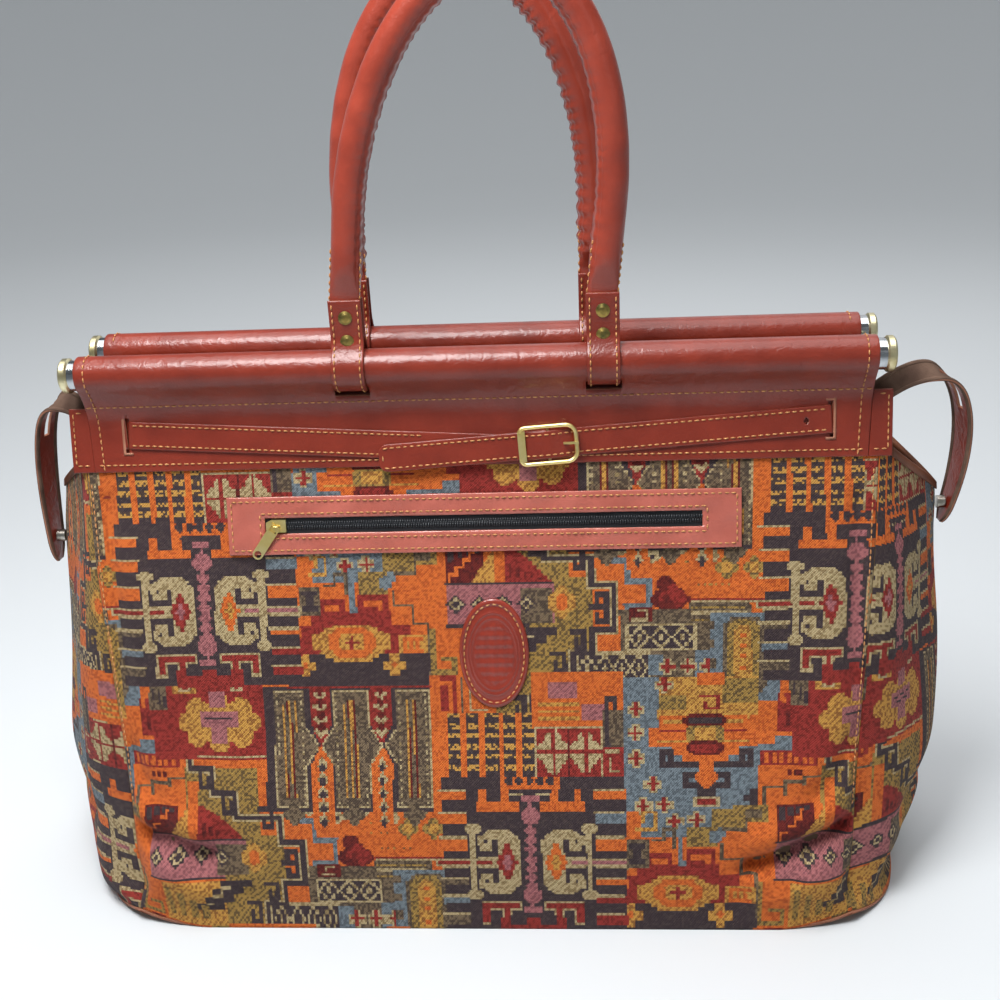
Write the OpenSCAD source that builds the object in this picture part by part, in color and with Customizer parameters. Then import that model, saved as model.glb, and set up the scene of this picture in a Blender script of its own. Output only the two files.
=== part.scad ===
// Carpet bag of tapestry cloth with leather bands, two rods in sleeves, rolled handles,
// a zipped front pocket, a buckled belt and side straps with snaps.
// Millimetres, +Z up, the front faces -Y, origin at the middle of the base's underside.

/* [Cloth body] */
// Length of the base between its corners
base_w = 536; // [440:1:640]
// Depth of the base
base_d = 232; // [190:1:280]
// Length of the front panel at the band's lower edge
top_w = 550; // [450:1:650]
// Depth between the panels at the band's lower edge
mouth_d = 73; // [70:1:90]
// Height of the band's lower edge
band_edge_h = 331; // [280:1:380]
// Thickness of the tapestry cloth
cloth_t = 1.8; // [1.2:0.1:2.4]
// How far the lower part of each panel bellies out
belly_out = 7; // [0:1:12]
// Distance from the badge's lower end down to the belly's upper end
belly_room = 17; // [16:1:50]
// Thickness of the leather base
base_t = 2.5; // [2:0.1:4]

/* [Gussets] */
// How far the crease stands out past the panel's side at the base
crease_base = 38; // [20:1:60]
// How far the crease stands out at its fullest
crease_full = 61; // [40:1:80]
// Height of the fullest point of the crease
crease_full_h = 110; // [80:1:150]
// How far the right crease stands out at its peak
crease_peak = 48; // [30:1:70]
// How far the left crease stands out at its peak, where the cloth is tucked in
left_crease_peak = 31; // [20:1:60]
// Height of the right crease's peak, the lowest point of its mouth edge
peak_h = 296; // [270:1:310]
// Height of the left crease's peak
left_peak_h = 312; // [290:1:325]
// Thickness of the leather binding on the mouth edge
binding_t = 1; // [0.6:0.1:1.5]
// Depth of the binding on the cloth
binding_d = 5; // [4:0.5:8]

/* [Rods and bands] */
// Height of the rods' axes above the band's lower edge
rod_rise = 69; // [60:1:100]
// Distance between the rods' axes
rod_gap = 60; // [54:1:80]
// Diameter of a rod
rod_dia = 21; // [16:0.5:22]
// Wall of a rod
rod_wall = 1.2; // [0.8:0.1:2]
// How far a rod's caps stand out past the front panel's top corners
rod_over = 5; // [3:0.5:20]
// Diameter of a rod cap
cap_dia = 24; // [23:0.5:25]
// Thickness of a rod cap outside the rod
cap_t = 6; // [4:0.5:9]
// Outer diameter of a leather sleeve
sleeve_dia = 26; // [25:0.5:28]
// How far a leather sleeve ends short of the front panel's top corners
sleeve_in = 6.5; // [5:0.5:25]
// Thickness of the band's leather
band_t = 2.2; // [1.6:0.1:2.8]
// Height of a band's flap from its lower edge to the sleeve's seam
flap_h = 45; // [40:1:48]
// How far a flap's lower edge ends short of the front panel's top corners
flap_in = 9; // [7:0.5:30]
// Thickness of the facing's leather
facing_t = 2; // [1.5:0.1:2.5]
// How far the facing's upper part stands out past the front panel's top corners
facing_over = 7; // [4:0.5:12]

/* [Zip pocket] */
// Length of the leather surround
surround_w = 356; // [330:1:400]
// Height of the leather surround
surround_h = 41; // [36:1:50]
// Thickness of the surround's leather
surround_t = 1.8; // [1.4:0.1:2.4]
// Length of the window in the surround
window_w = 303; // [280:1:320]
// Height of the window in the surround
window_h = 11; // [10:0.5:13]
// Distance from the band's lower edge down to the zip
zip_drop = 40; // [34:1:60]
// Sideways place of the zip
zip_x = 4; // [-10:1:10]
// Length of the zip slider
slider_len = 14; // [12:0.5:16]
// Length of the puller
puller_len = 28; // [22:0.5:34]
// Width of the puller
puller_w = 7.5; // [7.2:0.1:9]
// Angle of the hanging puller from the zip line
puller_angle = 55; // [50:1:58]

/* [Badge] */
// Width of the oval badge
badge_w = 49; // [36:1:60]
// Height of the oval badge
badge_h = 79; // [60:1:84]
// Distance from the band's lower edge down to the badge's middle
badge_drop = 134; // [120:1:140]
// Sideways place of the badge
badge_x = 10; // [-20:1:20]

/* [Belt and buckle] */
// Width of the belt
belt_w = 19; // [16:0.5:20]
// Thickness of the belt
belt_t = 1.8; // [1.6:0.1:2]
// Distance of the slits that the belt comes out of from the front panel's top corners
slit_in = 34; // [25:1:60]
// Height of the slits' middle above the band's lower edge
slit_rise = 26; // [22:1:30]
// Sideways place of the buckle's bar
buckle_x = 52; // [20:1:80]
// Height of the buckle's bar above the band's lower edge
buckle_rise = 13.5; // [12:0.5:18]
// Length of the belt's free tip past the bar
tip_len = 117; // [80:1:150]
// Length of the buckle frame
buckle_w = 41; // [38:0.5:44]
// Height of the buckle frame
buckle_h = 28; // [27:0.5:32]
// Diameter of the buckle's wire
buckle_wire = 3; // [2.6:0.1:3.2]

/* [Handles] */
// Diameter of a rolled handle
handle_dia = 20; // [17:0.5:20]
// Distance between a handle's legs
handle_span = 170; // [140:1:200]
// Height of the handle's middle line above the rod
handle_rise = 252; // [200:1:280]
// Sideways place of the front handle
front_handle_x = 5; // [-10:1:10]
// Sideways lean of the front handle at its top
front_handle_lean = 24; // [0:1:40]
// Width of a handle loop
loop_w = 22; // [20:0.5:26]
// Thickness of a loop's leather
loop_t = 2.2; // [1.6:0.1:2.4]
// Height of a loop's upper end above the rod
loop_top = 47.5; // [46:0.5:56]
// Thickness of the handle's flat end between the plies
tab_t = 6; // [4:0.5:7]
// Diameter of a rivet's cap
rivet_cap_dia = 9.2; // [7:0.1:9.4]

/* [Side straps] */
// Width of a side strap at its sewn end
strap_start_w = 16; // [14:0.5:18]
// Width of a side strap at its free end
strap_end_w = 22; // [18:0.5:26]
// Thickness of a side strap
strap_t = 2; // [1.6:0.1:2.6]
// Diameter of the snap's stud
snap_dia = 9; // [7:0.5:10]

/* [Hidden] */
$fn = 48;

// Colours of the finishes
leather_colour = "#8f3426";
cloth_colour = "#b5692f";
tan_colour = "#a5683f";
brass_colour = "#c9a94f";
chrome_colour = "#c9ccd0";
black_colour = "#22242a";

// One overrun for every cut, one clearance between plies and one between seams
over = 1;
ply_gap = 0.1;
seam_gap = 0.15;

// Front plane: tilted back from the base's edge to the mouth
tilt = atan((base_d - mouth_d) / 2 / band_edge_h);
edge_u = band_edge_h / cos(tilt);
flap_top_u = edge_u + flap_h;
rod_len = top_w + 2 * rod_over;
sleeve_len = top_w - 2 * sleeve_in;
flap_bottom_w = top_w - 2 * flap_in;
facing_w = top_w + 2 * facing_over;
slit_gap = top_w - 2 * slit_in;
belly_h = (edge_u - badge_drop - badge_h / 2 - belly_room) * cos(tilt);
cloth_lap = 10;
cloth_top_u = edge_u + cloth_lap;
cloth_top_h = cloth_top_u * cos(tilt);
cloth_foot_h = base_t + cloth_t * sin(tilt);
rod_y = -rod_gap / 2;
rod_h = band_edge_h + rod_rise;
// The rod's axis in the front plane's own frame: distance off the plane and up it
rod_off = (rod_y + base_d / 2) * cos(tilt) - rod_h * sin(tilt);
rod_u = (rod_y + base_d / 2) * sin(tilt) + rod_h * cos(tilt);
sleeve_bore = rod_dia / 2 + 2 * ply_gap;
// The web under the sleeve aims at a circle inside it, so that a valley shows along the seam
seam_touch_share = 0.9;
// Facing: how far it hangs below the cloth's top edge, and how far it stays in from the sides
facing_low = 26;
facing_side = 4;
// Cheek of the facing: its thickness, and the width by which it hangs on the facing's end
cheek_t = 1.4;
cheek_root = 12;
// Binding: part of the mouth edge that it covers, and its room round the cloth
binding_span_share = 0.84;
binding_gap = 0.55;
// Rod cap: chamfer, hollow of its face and length of the stem in the rod
cap_edge = 1.2;
cap_dish = 0.8;
cap_stem = 9;

// Grid of the cloth solids
panel_cols = 16;
cloth_rows = 14;
gusset_cols = 20;
// Squareness of the gusset's section: full at the base, a plain fold at the mouth
boxy_base_share = 2.6;
boxy_peak_share = 1.15;
belly_edge_share = 4;
side_step_share = 0.02;
// How fast the crease draws in towards its peak, on the right and on the left
crease_fall_share = 2;
left_crease_fall_share = 1.2;

// Zip layers, as distances out from the cloth
tape_t = 0.8;
tape_w = 30;
tape_over = 8;
tape_gap = 1.2;
coil_t = 1.6;
coil_w = 5.6;
coil_round_share = 0.66;
run_gap = 0.3;
slot_h = 9;
slider_h = 8.8;
slider_plate = 1.2;
slider_back_h = 7;
slider_back_t = 0.9;
slider_neck_t = 0.6;
slider_neck_len = 3;
slider_flange = 1.2;
flange_share = 0.75;
slider_nose_share = 0.6;
lug_r = 2.6;
lug_wire = 0.5;
slider_top = tape_t + coil_t + run_gap + slider_plate;
slider_x = zip_x - window_w / 2 + slider_len / 2 + over;
puller_t = 0.9;
puller_lift = 1;
puller_bar = 1.1;
eye_len = 4.1;
eye_half_w = 2.75;
puller_hole_r = 2.5;
zip_u = edge_u - zip_drop;
surround_corner = 3;
pouch_t = 0.6;
pouch_room = 1.6;
pouch_side = 13.5;
pouch_w = window_w + 2 * pouch_side;
pouch_h = 190;
pouch_rise = 14;

// Badge
badge_t = 1.6;
badge_rim_t = 0.7;
badge_rim_in = 2;
badge_rim_w = 1.6;
badge_ring_in = 7;
badge_points = 64;
badge_u = edge_u - badge_drop;

// Belt: slope of its right half, and heights out from the flap's face
slit_w = 4;
slit_h = 24;
slit_u = edge_u + slit_rise;
buckle_u = edge_u + buckle_rise;
right_run = slit_gap / 2 - buckle_x;
right_slope = atan((slit_rise - buckle_rise) / right_run);
bar_dia = 2;
bar_rise = belt_t + bar_dia / 2;
fold_len = 12;
knee_len = 34;
hump_half = 24;
hump_share = 1.6;
hump_rise = bar_dia + hump_share * belt_t;
upper_share = 1.5;
lower_share = 0.5;
step_len = 30;
belt_step = 2;
belt_corner = 4;
frame_room = 1.2;
frame_rise = 2 * belt_t + buckle_wire / 2 + frame_room;
frame_bar_w = 5;
frame_bar_t = 2;
frame_corner = 7;
frame_small_corner = 3.5;
prong_w = 1.6;
prong_eye = 1.2;
prong_slot = 3;
prong_hole_x = 11;
prong_hole_r = 2.8;
spare_hole_x = 173;
spare_hole_r = 1.8;

// Handles
loop_room = 0.4;
loop_r = sleeve_dia / 2 + loop_room;
loop_slit_r = 19;
loop_slit_side = 1;
tab_gap = 0.1;
tab_room = 0.6;
tab_low = loop_r + tab_room;
pinch_h = loop_r + loop_t - loop_room;
pinch_in_h = loop_r + loop_room / 2;
rivet_hole_r = 2.1;
rivet_shank_r = 2;
rivet_low = 20;
rivet_pitch = 16;
rivet_cap_t = 2;
rivet_seat = 0.05;
rivet_shoulder_share = 0.9;
rivet_edge_share = 0.33;
handle_sides = 12;
leg_rings = 6;
arch_rings = 28;
arch_spring = 100;
leg_ease_share = 1.3;
roll_len = 24;
tab_square_share = 0.45;
rear_handle_x = 0;
rear_handle_lean = 0;

// Side straps: a curve through four points, as distances out from the panel's side at
// their height, shares of the way to the facing's inner face, and heights above the peak
strap_reach = [-7.7, 58.1, 74.9, 54.4];
strap_rise = [70, 124, 39, -29];
left_strap_reach = [-7.7, 30, 46, 48.5];
left_strap_rise = [54, 92, 33, -64];
strap_depth_shares = [1, 0.6, -0.15, 0];
strap_rings = 24;
strap_step_share = 0.01;
strap_twist_share = 0.45;
slot_rings = 8;
strap_slot_from_share = 0.3;
strap_slot_to_share = 0.56;
strap_slot_w = 5;
strap_tip_share = 0.93;
snap_at_share = 0.93;
snap_cap_t = 1.6;
snap_cap_over = 1.5;
snap_room = 0.6;

function lerp(a, b, t) = a + (b - a) * t;
function clamp01(t) = min(1, max(0, t));
function ease(t) = let (c = clamp01(t)) c * c * (3 - 2 * c);
function flat(rows) = [for (row = rows) each row];
function signed_pow(c, e) = sign(c) * pow(abs(c), e);

// Body section at height z
function half_depth(z) = lerp(base_d, mouth_d, z / band_edge_h) / 2;
function half_width(z) = lerp(base_w, top_w, z / band_edge_h) / 2;
function peak_of(side) = side > 0 ? peak_h : left_peak_h;
function crease_reach(z, side) =
    let (
        rise = (z - crease_full_h) / (peak_of(side) - crease_full_h),
        fall = side > 0 ? crease_fall_share : left_crease_fall_share
    )
    z < crease_full_h
        ? lerp(crease_base, crease_full, ease(z / crease_full_h))
        : lerp(crease_full, side > 0 ? crease_peak : left_crease_peak, pow(rise, fall));
function boxy(z) = lerp(boxy_base_share, boxy_peak_share, clamp01(z / peak_h));

// Side of the body: q runs from -1 at the front seam through 0 at the crease to 1 at the rear
// seam. The left side has side = -1 and is drawn on the right, to be mirrored.
function side_x(q, z, side) = half_width(z) + crease_reach(z, side) * (1 - pow(abs(q), boxy(z)));
function mouth_edge(q, side) = lerp(peak_of(side), cloth_top_h, abs(q));
function side_at(q, z, side) = [side_x(q, z, side), q * half_depth(z), z];
function side_pt(q, v, side) = side_at(q, lerp(cloth_foot_h, mouth_edge(q, side), v), side);
function side_normal(q, v, side) =
    let (
        a = side_pt(min(1, q + side_step_share), v, side) - side_pt(max(-1, q - side_step_share), v, side),
        b = side_pt(q, min(1, v + side_step_share), side) - side_pt(q, max(0, v - side_step_share), side),
        c = cross(a, b)
    ) c / norm(c);
panel_in = [0, cos(tilt), -sin(tilt)];
// Where the inner faces of panel and gusset meet at their seam
function seam_in(v, side) =
    let (n = -side_normal(-1, v, side)) cloth_t * (panel_in + n) / (1 + panel_in * n);
function side_in(q, v, side) =
    let (s = seam_in(v, side))
    abs(q) < 1 ? -cloth_t * side_normal(q, v, side) : [s[0], -q * s[1], s[2]];

function panel_z(v) = lerp(cloth_foot_h, cloth_top_h, v);
function belly(p, z) =
    z > belly_h ? 0
        : belly_out * sin(180 * z / belly_h) * (1 - pow(abs(p), belly_edge_share));
function panel_pt(p, v) =
    let (z = panel_z(v)) [p * (half_width(z) - seam_gap), -half_depth(z) - belly(p, z), z];
function panel_inner(p, v) =
    let (s = seam_in(v, p))
    abs(p) < 1 ? cloth_t * panel_in : [p * s[0], s[1], s[2]];

// Tangent point on a circle of radius r about the origin, seen from point p
function tangent_pt(p, r, side) =
    let (a = atan2(p[1], p[0]) + side * acos(r / norm(p))) [r * cos(a), r * sin(a)];

// Closed solid between an outer and an inner grid of points
module sheet_solid(outer, inner) {
    rows = len(outer);
    cols = len(outer[0]);
    n = rows * cols;
    at = function (i, j) j * cols + i;
    cells = [for (j = [0:rows - 2], i = [0:cols - 2])
        [at(i, j), at(i, j + 1), at(i + 1, j + 1), at(i + 1, j)]];
    rim = concat(
        [for (i = [0:cols - 2]) [at(i, 0), at(i + 1, 0)]],
        [for (i = [0:cols - 2]) [at(i + 1, rows - 1), at(i, rows - 1)]],
        [for (j = [0:rows - 2]) [at(0, j + 1), at(0, j)]],
        [for (j = [0:rows - 2]) [at(cols - 1, j), at(cols - 1, j + 1)]]
    );
    faces = concat(
        [for (c = cells) each [[c[0], c[1], c[2]], [c[0], c[2], c[3]]]],
        [for (c = cells) each [[n + c[0], n + c[2], n + c[1]], [n + c[0], n + c[3], n + c[2]]]],
        [for (e = rim) each [[e[0], e[1], n + e[1]], [e[0], n + e[1], n + e[0]]]]
    );
    polyhedron(concat(flat(outer), flat(inner)), faces, convexity = 8);
}

// Closed tube through rings of points
module ring_solid(rings) {
    k = len(rings);
    n = len(rings[0]);
    at = function (i, j) j * n + i % n;
    faces = concat(
        [for (j = [0:k - 2], i = [0:n - 1]) each
            [[at(i, j), at(i, j + 1), at(i + 1, j + 1)], [at(i, j), at(i + 1, j + 1), at(i + 1, j)]]],
        [[for (i = [0:n - 1]) at(i, 0)]],
        [[for (i = [n - 1:-1:0]) at(i, k - 1)]]
    );
    polyhedron(flat(rings), faces, convexity = 8);
}

// Frame of the front plane: X along it, Z up it, -Y out of it, origin at the base's edge
module on_front() {
    translate([0, -base_d / 2, 0]) rotate([-tilt, 0, 0]) children();
}

module at_rod_on_front() {
    translate([0, rod_off, rod_u]) children();
}

// Outline in X and Z, thickened outwards from a distance off the plane
module ply(off, t) {
    translate([0, -off, 0]) rotate([90, 0, 0]) linear_extrude(t) children();
}

// Outline in Y and Z carried along X
module along_x(length) {
    rotate([90, 0, 90]) linear_extrude(length, center = true) children();
}

module x_cylinder(r, length) {
    rotate([0, 90, 0]) cylinder(r = r, h = length, center = true);
}

module rounded_rect(w, h, r) {
    square([w - 2 * r, h], center = true);
    square([w, h - 2 * r], center = true);
    for (x = [-1, 1], y = [-1, 1]) translate([x * (w / 2 - r), y * (h / 2 - r)]) circle(r);
}

module ellipse(w, h) {
    polygon([for (i = [0:badge_points - 1])
        let (a = 360 * i / badge_points) [w / 2 * cos(a), h / 2 * sin(a)]]);
}

// Base: one leather sheet cut to the body's section at the floor
module base_panel() {
    steps = gusset_cols;
    right = [for (i = [0:steps]) let (q = 2 * i / steps - 1) side_at(q, 0, 1)];
    left = [for (i = [steps:-1:0]) [-right[i][0], right[i][1]]];
    color(tan_colour)
        linear_extrude(base_t)
            polygon([for (p = concat(right, left)) [p[0], p[1]]]);
}

module panel_shell() {
    outer = [for (j = [0:cloth_rows]) [for (i = [0:panel_cols])
        panel_pt(2 * i / panel_cols - 1, j / cloth_rows)]];
    inner = [for (j = [0:cloth_rows]) [for (i = [0:panel_cols])
        let (p = 2 * i / panel_cols - 1, v = j / cloth_rows) panel_pt(p, v) + panel_inner(p, v)]];
    sheet_solid(outer, inner);
}

// Front panel, cut through behind the zip
module front_panel() {
    color(cloth_colour)
        difference() {
            panel_shell();
            on_front()
                translate([zip_x, 0, zip_u])
                    cube([window_w, 2 * (cloth_t + over), slot_h], center = true);
        }
}

module rear_panel() {
    color(cloth_colour) mirror([0, 1, 0]) panel_shell();
}

// Gusset: boxy at the base, folded outwards to a crease, with a V-shaped mouth edge
module gusset_shell(side) {
    outer = [for (j = [0:cloth_rows]) [for (i = [0:gusset_cols])
        side_pt(2 * i / gusset_cols - 1, j / cloth_rows, side)]];
    inner = [for (j = [0:cloth_rows]) [for (i = [0:gusset_cols])
        let (q = 2 * i / gusset_cols - 1, v = j / cloth_rows) side_pt(q, v, side) + side_in(q, v, side)]];
    sheet_solid(outer, inner);
}

module left_gusset() {
    color(cloth_colour) mirror([1, 0, 0]) gusset_shell(-1);
}

module right_gusset() {
    color(cloth_colour) gusset_shell(1);
}

// Binding: a folded leather strip over the gusset's mouth edge
module binding_strip(side) {
    out = binding_t + binding_gap;
    back = cloth_t + binding_gap;
    channel = [
        [out, binding_d], [out, -out], [-back - binding_t, -out], [-back - binding_t, binding_d],
        [-back, binding_d], [-back, -binding_gap], [binding_gap, -binding_gap], [binding_gap, binding_d]
    ];
    rings = [for (i = [0:gusset_cols])
        let (
            q = binding_span_share * (2 * i / gusset_cols - 1),
            edge = side_pt(q, 1, side),
            n = side_normal(q, 1, side),
            below = side_pt(q, 1 - side_step_share, side) - edge,
            down = below / norm(below)
        )
        [for (c = channel) edge + c[0] * n + c[1] * down]];
    ring_solid([for (i = [gusset_cols:-1:0]) rings[i]]);
}

module left_gusset_binding() {
    color(tan_colour) mirror([1, 0, 0]) binding_strip(-1);
}

module right_gusset_binding() {
    color(tan_colour) binding_strip(1);
}

// Facing: inner ply of the band, stepped over the cloth's top edge, with a cheek at each end
// that comes round to the front beside the flap
module facing() {
    back = cloth_t + facing_t;
    step_u = cloth_top_u + over;
    top_u = flap_top_u - ply_gap;
    low_u = cloth_top_u - facing_low;
    on_front() {
        ply(-back, back - ply_gap)
            translate([-facing_w / 2, step_u]) square([facing_w, top_u - step_u]);
        ply(-back, facing_t - ply_gap)
            translate([-top_w / 2 + facing_side, low_u])
                square([top_w - 2 * facing_side, step_u - low_u + over]);
        for (s = [-1, 1]) {
            ply(ply_gap, cheek_t)
                polygon([
                    [s * (flap_bottom_w / 2 + seam_gap), edge_u], [s * facing_w / 2, edge_u],
                    [s * facing_w / 2, top_u], [s * (sleeve_len / 2 + seam_gap), top_u]
                ]);
            ply(-facing_t, facing_t + cheek_t)
                translate([s * (facing_w - cheek_root) / 2, (step_u + top_u) / 2])
                    square([cheek_root, top_u - step_u], center = true);
        }
    }
}

module front_facing() {
    color(leather_colour) facing();
}

module rear_facing() {
    color(leather_colour) mirror([0, 1, 0]) facing();
}

// Band: a sleeve round the rod, closed by its seam and running down into the flap
module band_body(loops) {
    front_edge = [-band_t - rod_off, flap_top_u - rod_u];
    rear_edge = [cloth_t + facing_t - rod_off, flap_top_u - rod_u];
    front_touch = tangent_pt(front_edge, seam_touch_share * sleeve_dia / 2, -1);
    rear_touch = tangent_pt(rear_edge, seam_touch_share * sleeve_dia / 2, 1);
    difference() {
        union() {
            at_rod_on_front() {
                x_cylinder(sleeve_dia / 2, sleeve_len);
                difference() {
                    along_x(sleeve_len) polygon([[0, 0], front_touch, front_edge, rear_edge, rear_touch]);
                    for (x = loops)
                        translate([x, 0, 0]) x_cylinder(loop_slit_r, loop_w + 2 * loop_slit_side);
                }
            }
            ply(ply_gap, band_t - ply_gap)
                polygon([
                    [-flap_bottom_w / 2, edge_u], [flap_bottom_w / 2, edge_u],
                    [sleeve_len / 2, flap_top_u + ply_gap], [-sleeve_len / 2, flap_top_u + ply_gap]
                ]);
        }
        at_rod_on_front() x_cylinder(sleeve_bore, sleeve_len + 2 * over);
    }
}

module front_band() {
    color(leather_colour)
        on_front()
            difference() {
                band_body([for (s = [-1, 1]) front_handle_x + s * handle_span / 2]);
                for (s = [-1, 1])
                    translate([s * slit_gap / 2, -band_t / 2, slit_u])
                        cube([slit_w, band_t + 2 * over, slit_h], center = true);
            }
}

module rear_band() {
    color(leather_colour)
        mirror([0, 1, 0])
            on_front()
                band_body([for (s = [-1, 1]) rear_handle_x + s * handle_span / 2]);
}

// Rods: chromed steel tube
module rod(y) {
    color(chrome_colour)
        translate([0, y, rod_h])
            difference() {
                x_cylinder(rod_dia / 2, rod_len - 2 * cap_t);
                x_cylinder(rod_dia / 2 - rod_wall, rod_len);
            }
}

module front_rod() {
    rod(rod_y);
}

module rear_rod() {
    rod(-rod_y);
}

// Rod cap: a dished disc with a stem that plugs the rod
module rod_cap(y, side) {
    stem_r = rod_dia / 2 - rod_wall - ply_gap;
    rim_r = cap_dia / 2;
    color(brass_colour)
        translate([side * (rod_len / 2 - cap_t), y, rod_h])
            rotate([0, side * 90, 0])
                rotate_extrude()
                    polygon([
                        [0, -cap_stem], [stem_r, -cap_stem], [stem_r, 0], [rim_r - cap_edge, 0],
                        [rim_r, cap_edge], [rim_r, cap_t - cap_edge], [rim_r - cap_edge, cap_t],
                        [rim_r - 2 * cap_edge, cap_t], [0, cap_t - cap_dish]
                    ]);
}

module front_left_cap() {
    rod_cap(rod_y, -1);
}

module front_right_cap() {
    rod_cap(rod_y, 1);
}

module rear_left_cap() {
    rod_cap(-rod_y, -1);
}

module rear_right_cap() {
    rod_cap(-rod_y, 1);
}

module at_zip() {
    on_front() translate([zip_x, 0, zip_u]) children();
}

// Pouch behind the zip, open towards the slot
module pocket_bag() {
    depth = 2 * pouch_t + pouch_room;
    mid = pouch_rise - pouch_h / 2;
    color(black_colour)
        at_zip()
            difference() {
                ply(-cloth_t - ply_gap - depth, depth)
                    translate([0, mid]) square([pouch_w, pouch_h], center = true);
                ply(-cloth_t - ply_gap - depth + pouch_t, pouch_room)
                    translate([0, mid])
                        square([pouch_w - 2 * pouch_t, pouch_h - 2 * pouch_t], center = true);
                ply(-cloth_t - ply_gap - depth + pouch_t, depth)
                    square([window_w, slot_h], center = true);
            }
}

module both_halves(inner, outer, length) {
    for (s = [-1, 1])
        translate([0, s * (inner + outer) / 2]) square([length, outer - inner], center = true);
}

module zip_tape() {
    color(black_colour)
        at_zip()
            ply(ply_gap, tape_t - ply_gap)
                both_halves(tape_gap / 2, tape_w / 2, window_w + 2 * tape_over);
}

// Coil: two rows with rounded backs on either side of the closing line
module zip_coil() {
    row_w = coil_w / 2 - tape_gap / 2;
    color(black_colour)
        at_zip()
            for (s = [-1, 1])
                translate([0, -tape_t, s * (tape_gap / 2 + row_w / 2)])
                    along_x(window_w)
                        intersection() {
                            translate([-coil_t, -row_w / 2]) square([coil_t, row_w]);
                            translate([-coil_t + row_w / 2, 0]) circle(row_w * coil_round_share);
                        }
}

module zip_surround() {
    color(leather_colour)
        at_zip()
            ply(tape_t, surround_t)
                difference() {
                    rounded_rect(surround_w, surround_h, surround_corner);
                    square([window_w, window_h], center = true);
                }
}

module at_slider() {
    on_front() translate([slider_x, 0, zip_u]) children();
}

// Slider: front and back plates joined by a neck that runs between the coil rows, and a lug
module zip_slider() {
    half = slider_len / 2;
    nose = slider_h * slider_nose_share / 2;
    color(brass_colour)
        at_slider() {
            ply(slider_top - slider_plate, slider_plate)
                polygon([
                    [-half, -nose], [-half / 2, -slider_h / 2], [half, -slider_h / 2],
                    [half, slider_h / 2], [-half / 2, slider_h / 2], [-half, nose]
                ]);
            for (s = [-1, 1])
                ply(tape_t + run_gap, slider_top - slider_plate - tape_t)
                    translate([half * (1 - flange_share), s * (slider_h - slider_flange) / 2])
                        square([slider_len * flange_share, slider_flange], center = true);
            ply(-run_gap - slider_back_t, slider_back_t)
                square([slider_len * slider_nose_share, slider_back_h], center = true);
            ply(-run_gap - slider_back_t / 2, slider_top)
                square([slider_neck_len, slider_neck_t], center = true);
            translate([0, -slider_top, 0])
                rotate([0, 0, 180])
                    rotate_extrude(angle = 180)
                        translate([lug_r, 0]) circle(lug_wire);
        }
}

// Puller: a flat tab with a square eye round the lug and a round hole at its end
module zip_puller() {
    far = puller_len - puller_w / 2 - puller_bar / 2;
    color(brass_colour)
        at_slider()
            rotate([0, 180 - puller_angle, 0])
                ply(slider_top + puller_lift - puller_t / 2, puller_t)
                    difference() {
                        union() {
                            translate([-puller_bar / 2, -puller_w / 2])
                                square([far + puller_bar / 2, puller_w]);
                            translate([far, 0]) circle(puller_w / 2);
                        }
                        translate([puller_bar / 2, -eye_half_w]) square([eye_len, 2 * eye_half_w]);
                        translate([far, 0]) circle(puller_hole_r);
                    }
}

// Badge: an oval leather patch with a raised rim and a pressed ring
module badge() {
    color(leather_colour)
        on_front()
            translate([badge_x, 0, badge_u]) {
                ply(ply_gap, badge_t) ellipse(badge_w, badge_h);
                for (inset = [badge_rim_in, badge_ring_in])
                    ply(badge_t, badge_rim_t)
                        difference() {
                            ellipse(badge_w - inset, badge_h - inset);
                            ellipse(badge_w - inset - 2 * badge_rim_w, badge_h - inset - 2 * badge_rim_w);
                        }
            }
}

// Frame of the belt: origin at the buckle's bar on the flap's face, X along the belt
module on_belt(slope) {
    on_front() translate([buckle_x, -band_t, buckle_u]) rotate([0, slope, 0]) children();
}

// Strip that follows a line of [along, rise] points, drawn as an outline
module strip(line, t) {
    upper = [for (p = line) [p[0], -p[1] - t / 2]];
    lower = [for (i = [len(line) - 1:-1:0]) [line[i][0], -line[i][1] + t / 2]];
    polygon(concat(upper, lower));
}

// Left half: flat on the band, turned to the buckle at a knee, folded back round the
// buckle's bar and slotted for the prong
module belt_left() {
    fold_r = bar_dia / 2 + ply_gap;
    slit_end = [-slit_gap / 2, slit_u];
    bar_end = [buckle_x, buckle_u];
    knee = bar_end - knee_len * [cos(right_slope), sin(right_slope)];
    run = (knee - slit_end) / norm(knee - slit_end);
    up_run = [-run[1], run[0]] * belt_w / 2;
    up_bar = [-sin(right_slope), cos(right_slope)] * belt_w / 2;
    up_knee = (up_run + up_bar) / 2;
    color(leather_colour)
        difference() {
            union() {
                on_front() {
                    ply(band_t + ply_gap, belt_t - ply_gap)
                        polygon([
                            slit_end - up_run, knee - up_knee, bar_end - up_bar,
                            bar_end + up_bar, knee + up_knee, slit_end + up_run
                        ]);
                    ply(ply_gap, band_t + belt_t - ply_gap)
                        translate(slit_end) square([belt_t, belt_w], center = true);
                }
                on_belt(-right_slope)
                    linear_extrude(belt_w, center = true) {
                        difference() {
                            translate([0, -bar_rise]) circle(fold_r + belt_t - 2 * ply_gap);
                            translate([0, -bar_rise]) circle(fold_r);
                            translate([-2 * bar_rise, -3 * bar_rise]) square([2 * bar_rise, 4 * bar_rise]);
                        }
                        strip(
                            [[-fold_len, upper_share * belt_t], [0, bar_rise + fold_r + belt_t / 2 - ply_gap]],
                            belt_t - 2 * ply_gap
                        );
                    }
            }
            on_belt(-right_slope)
                translate([0, -bar_rise, 0])
                    cube([2 * (bar_rise + prong_eye), 4 * bar_rise, prong_slot], center = true);
        }
}

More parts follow.
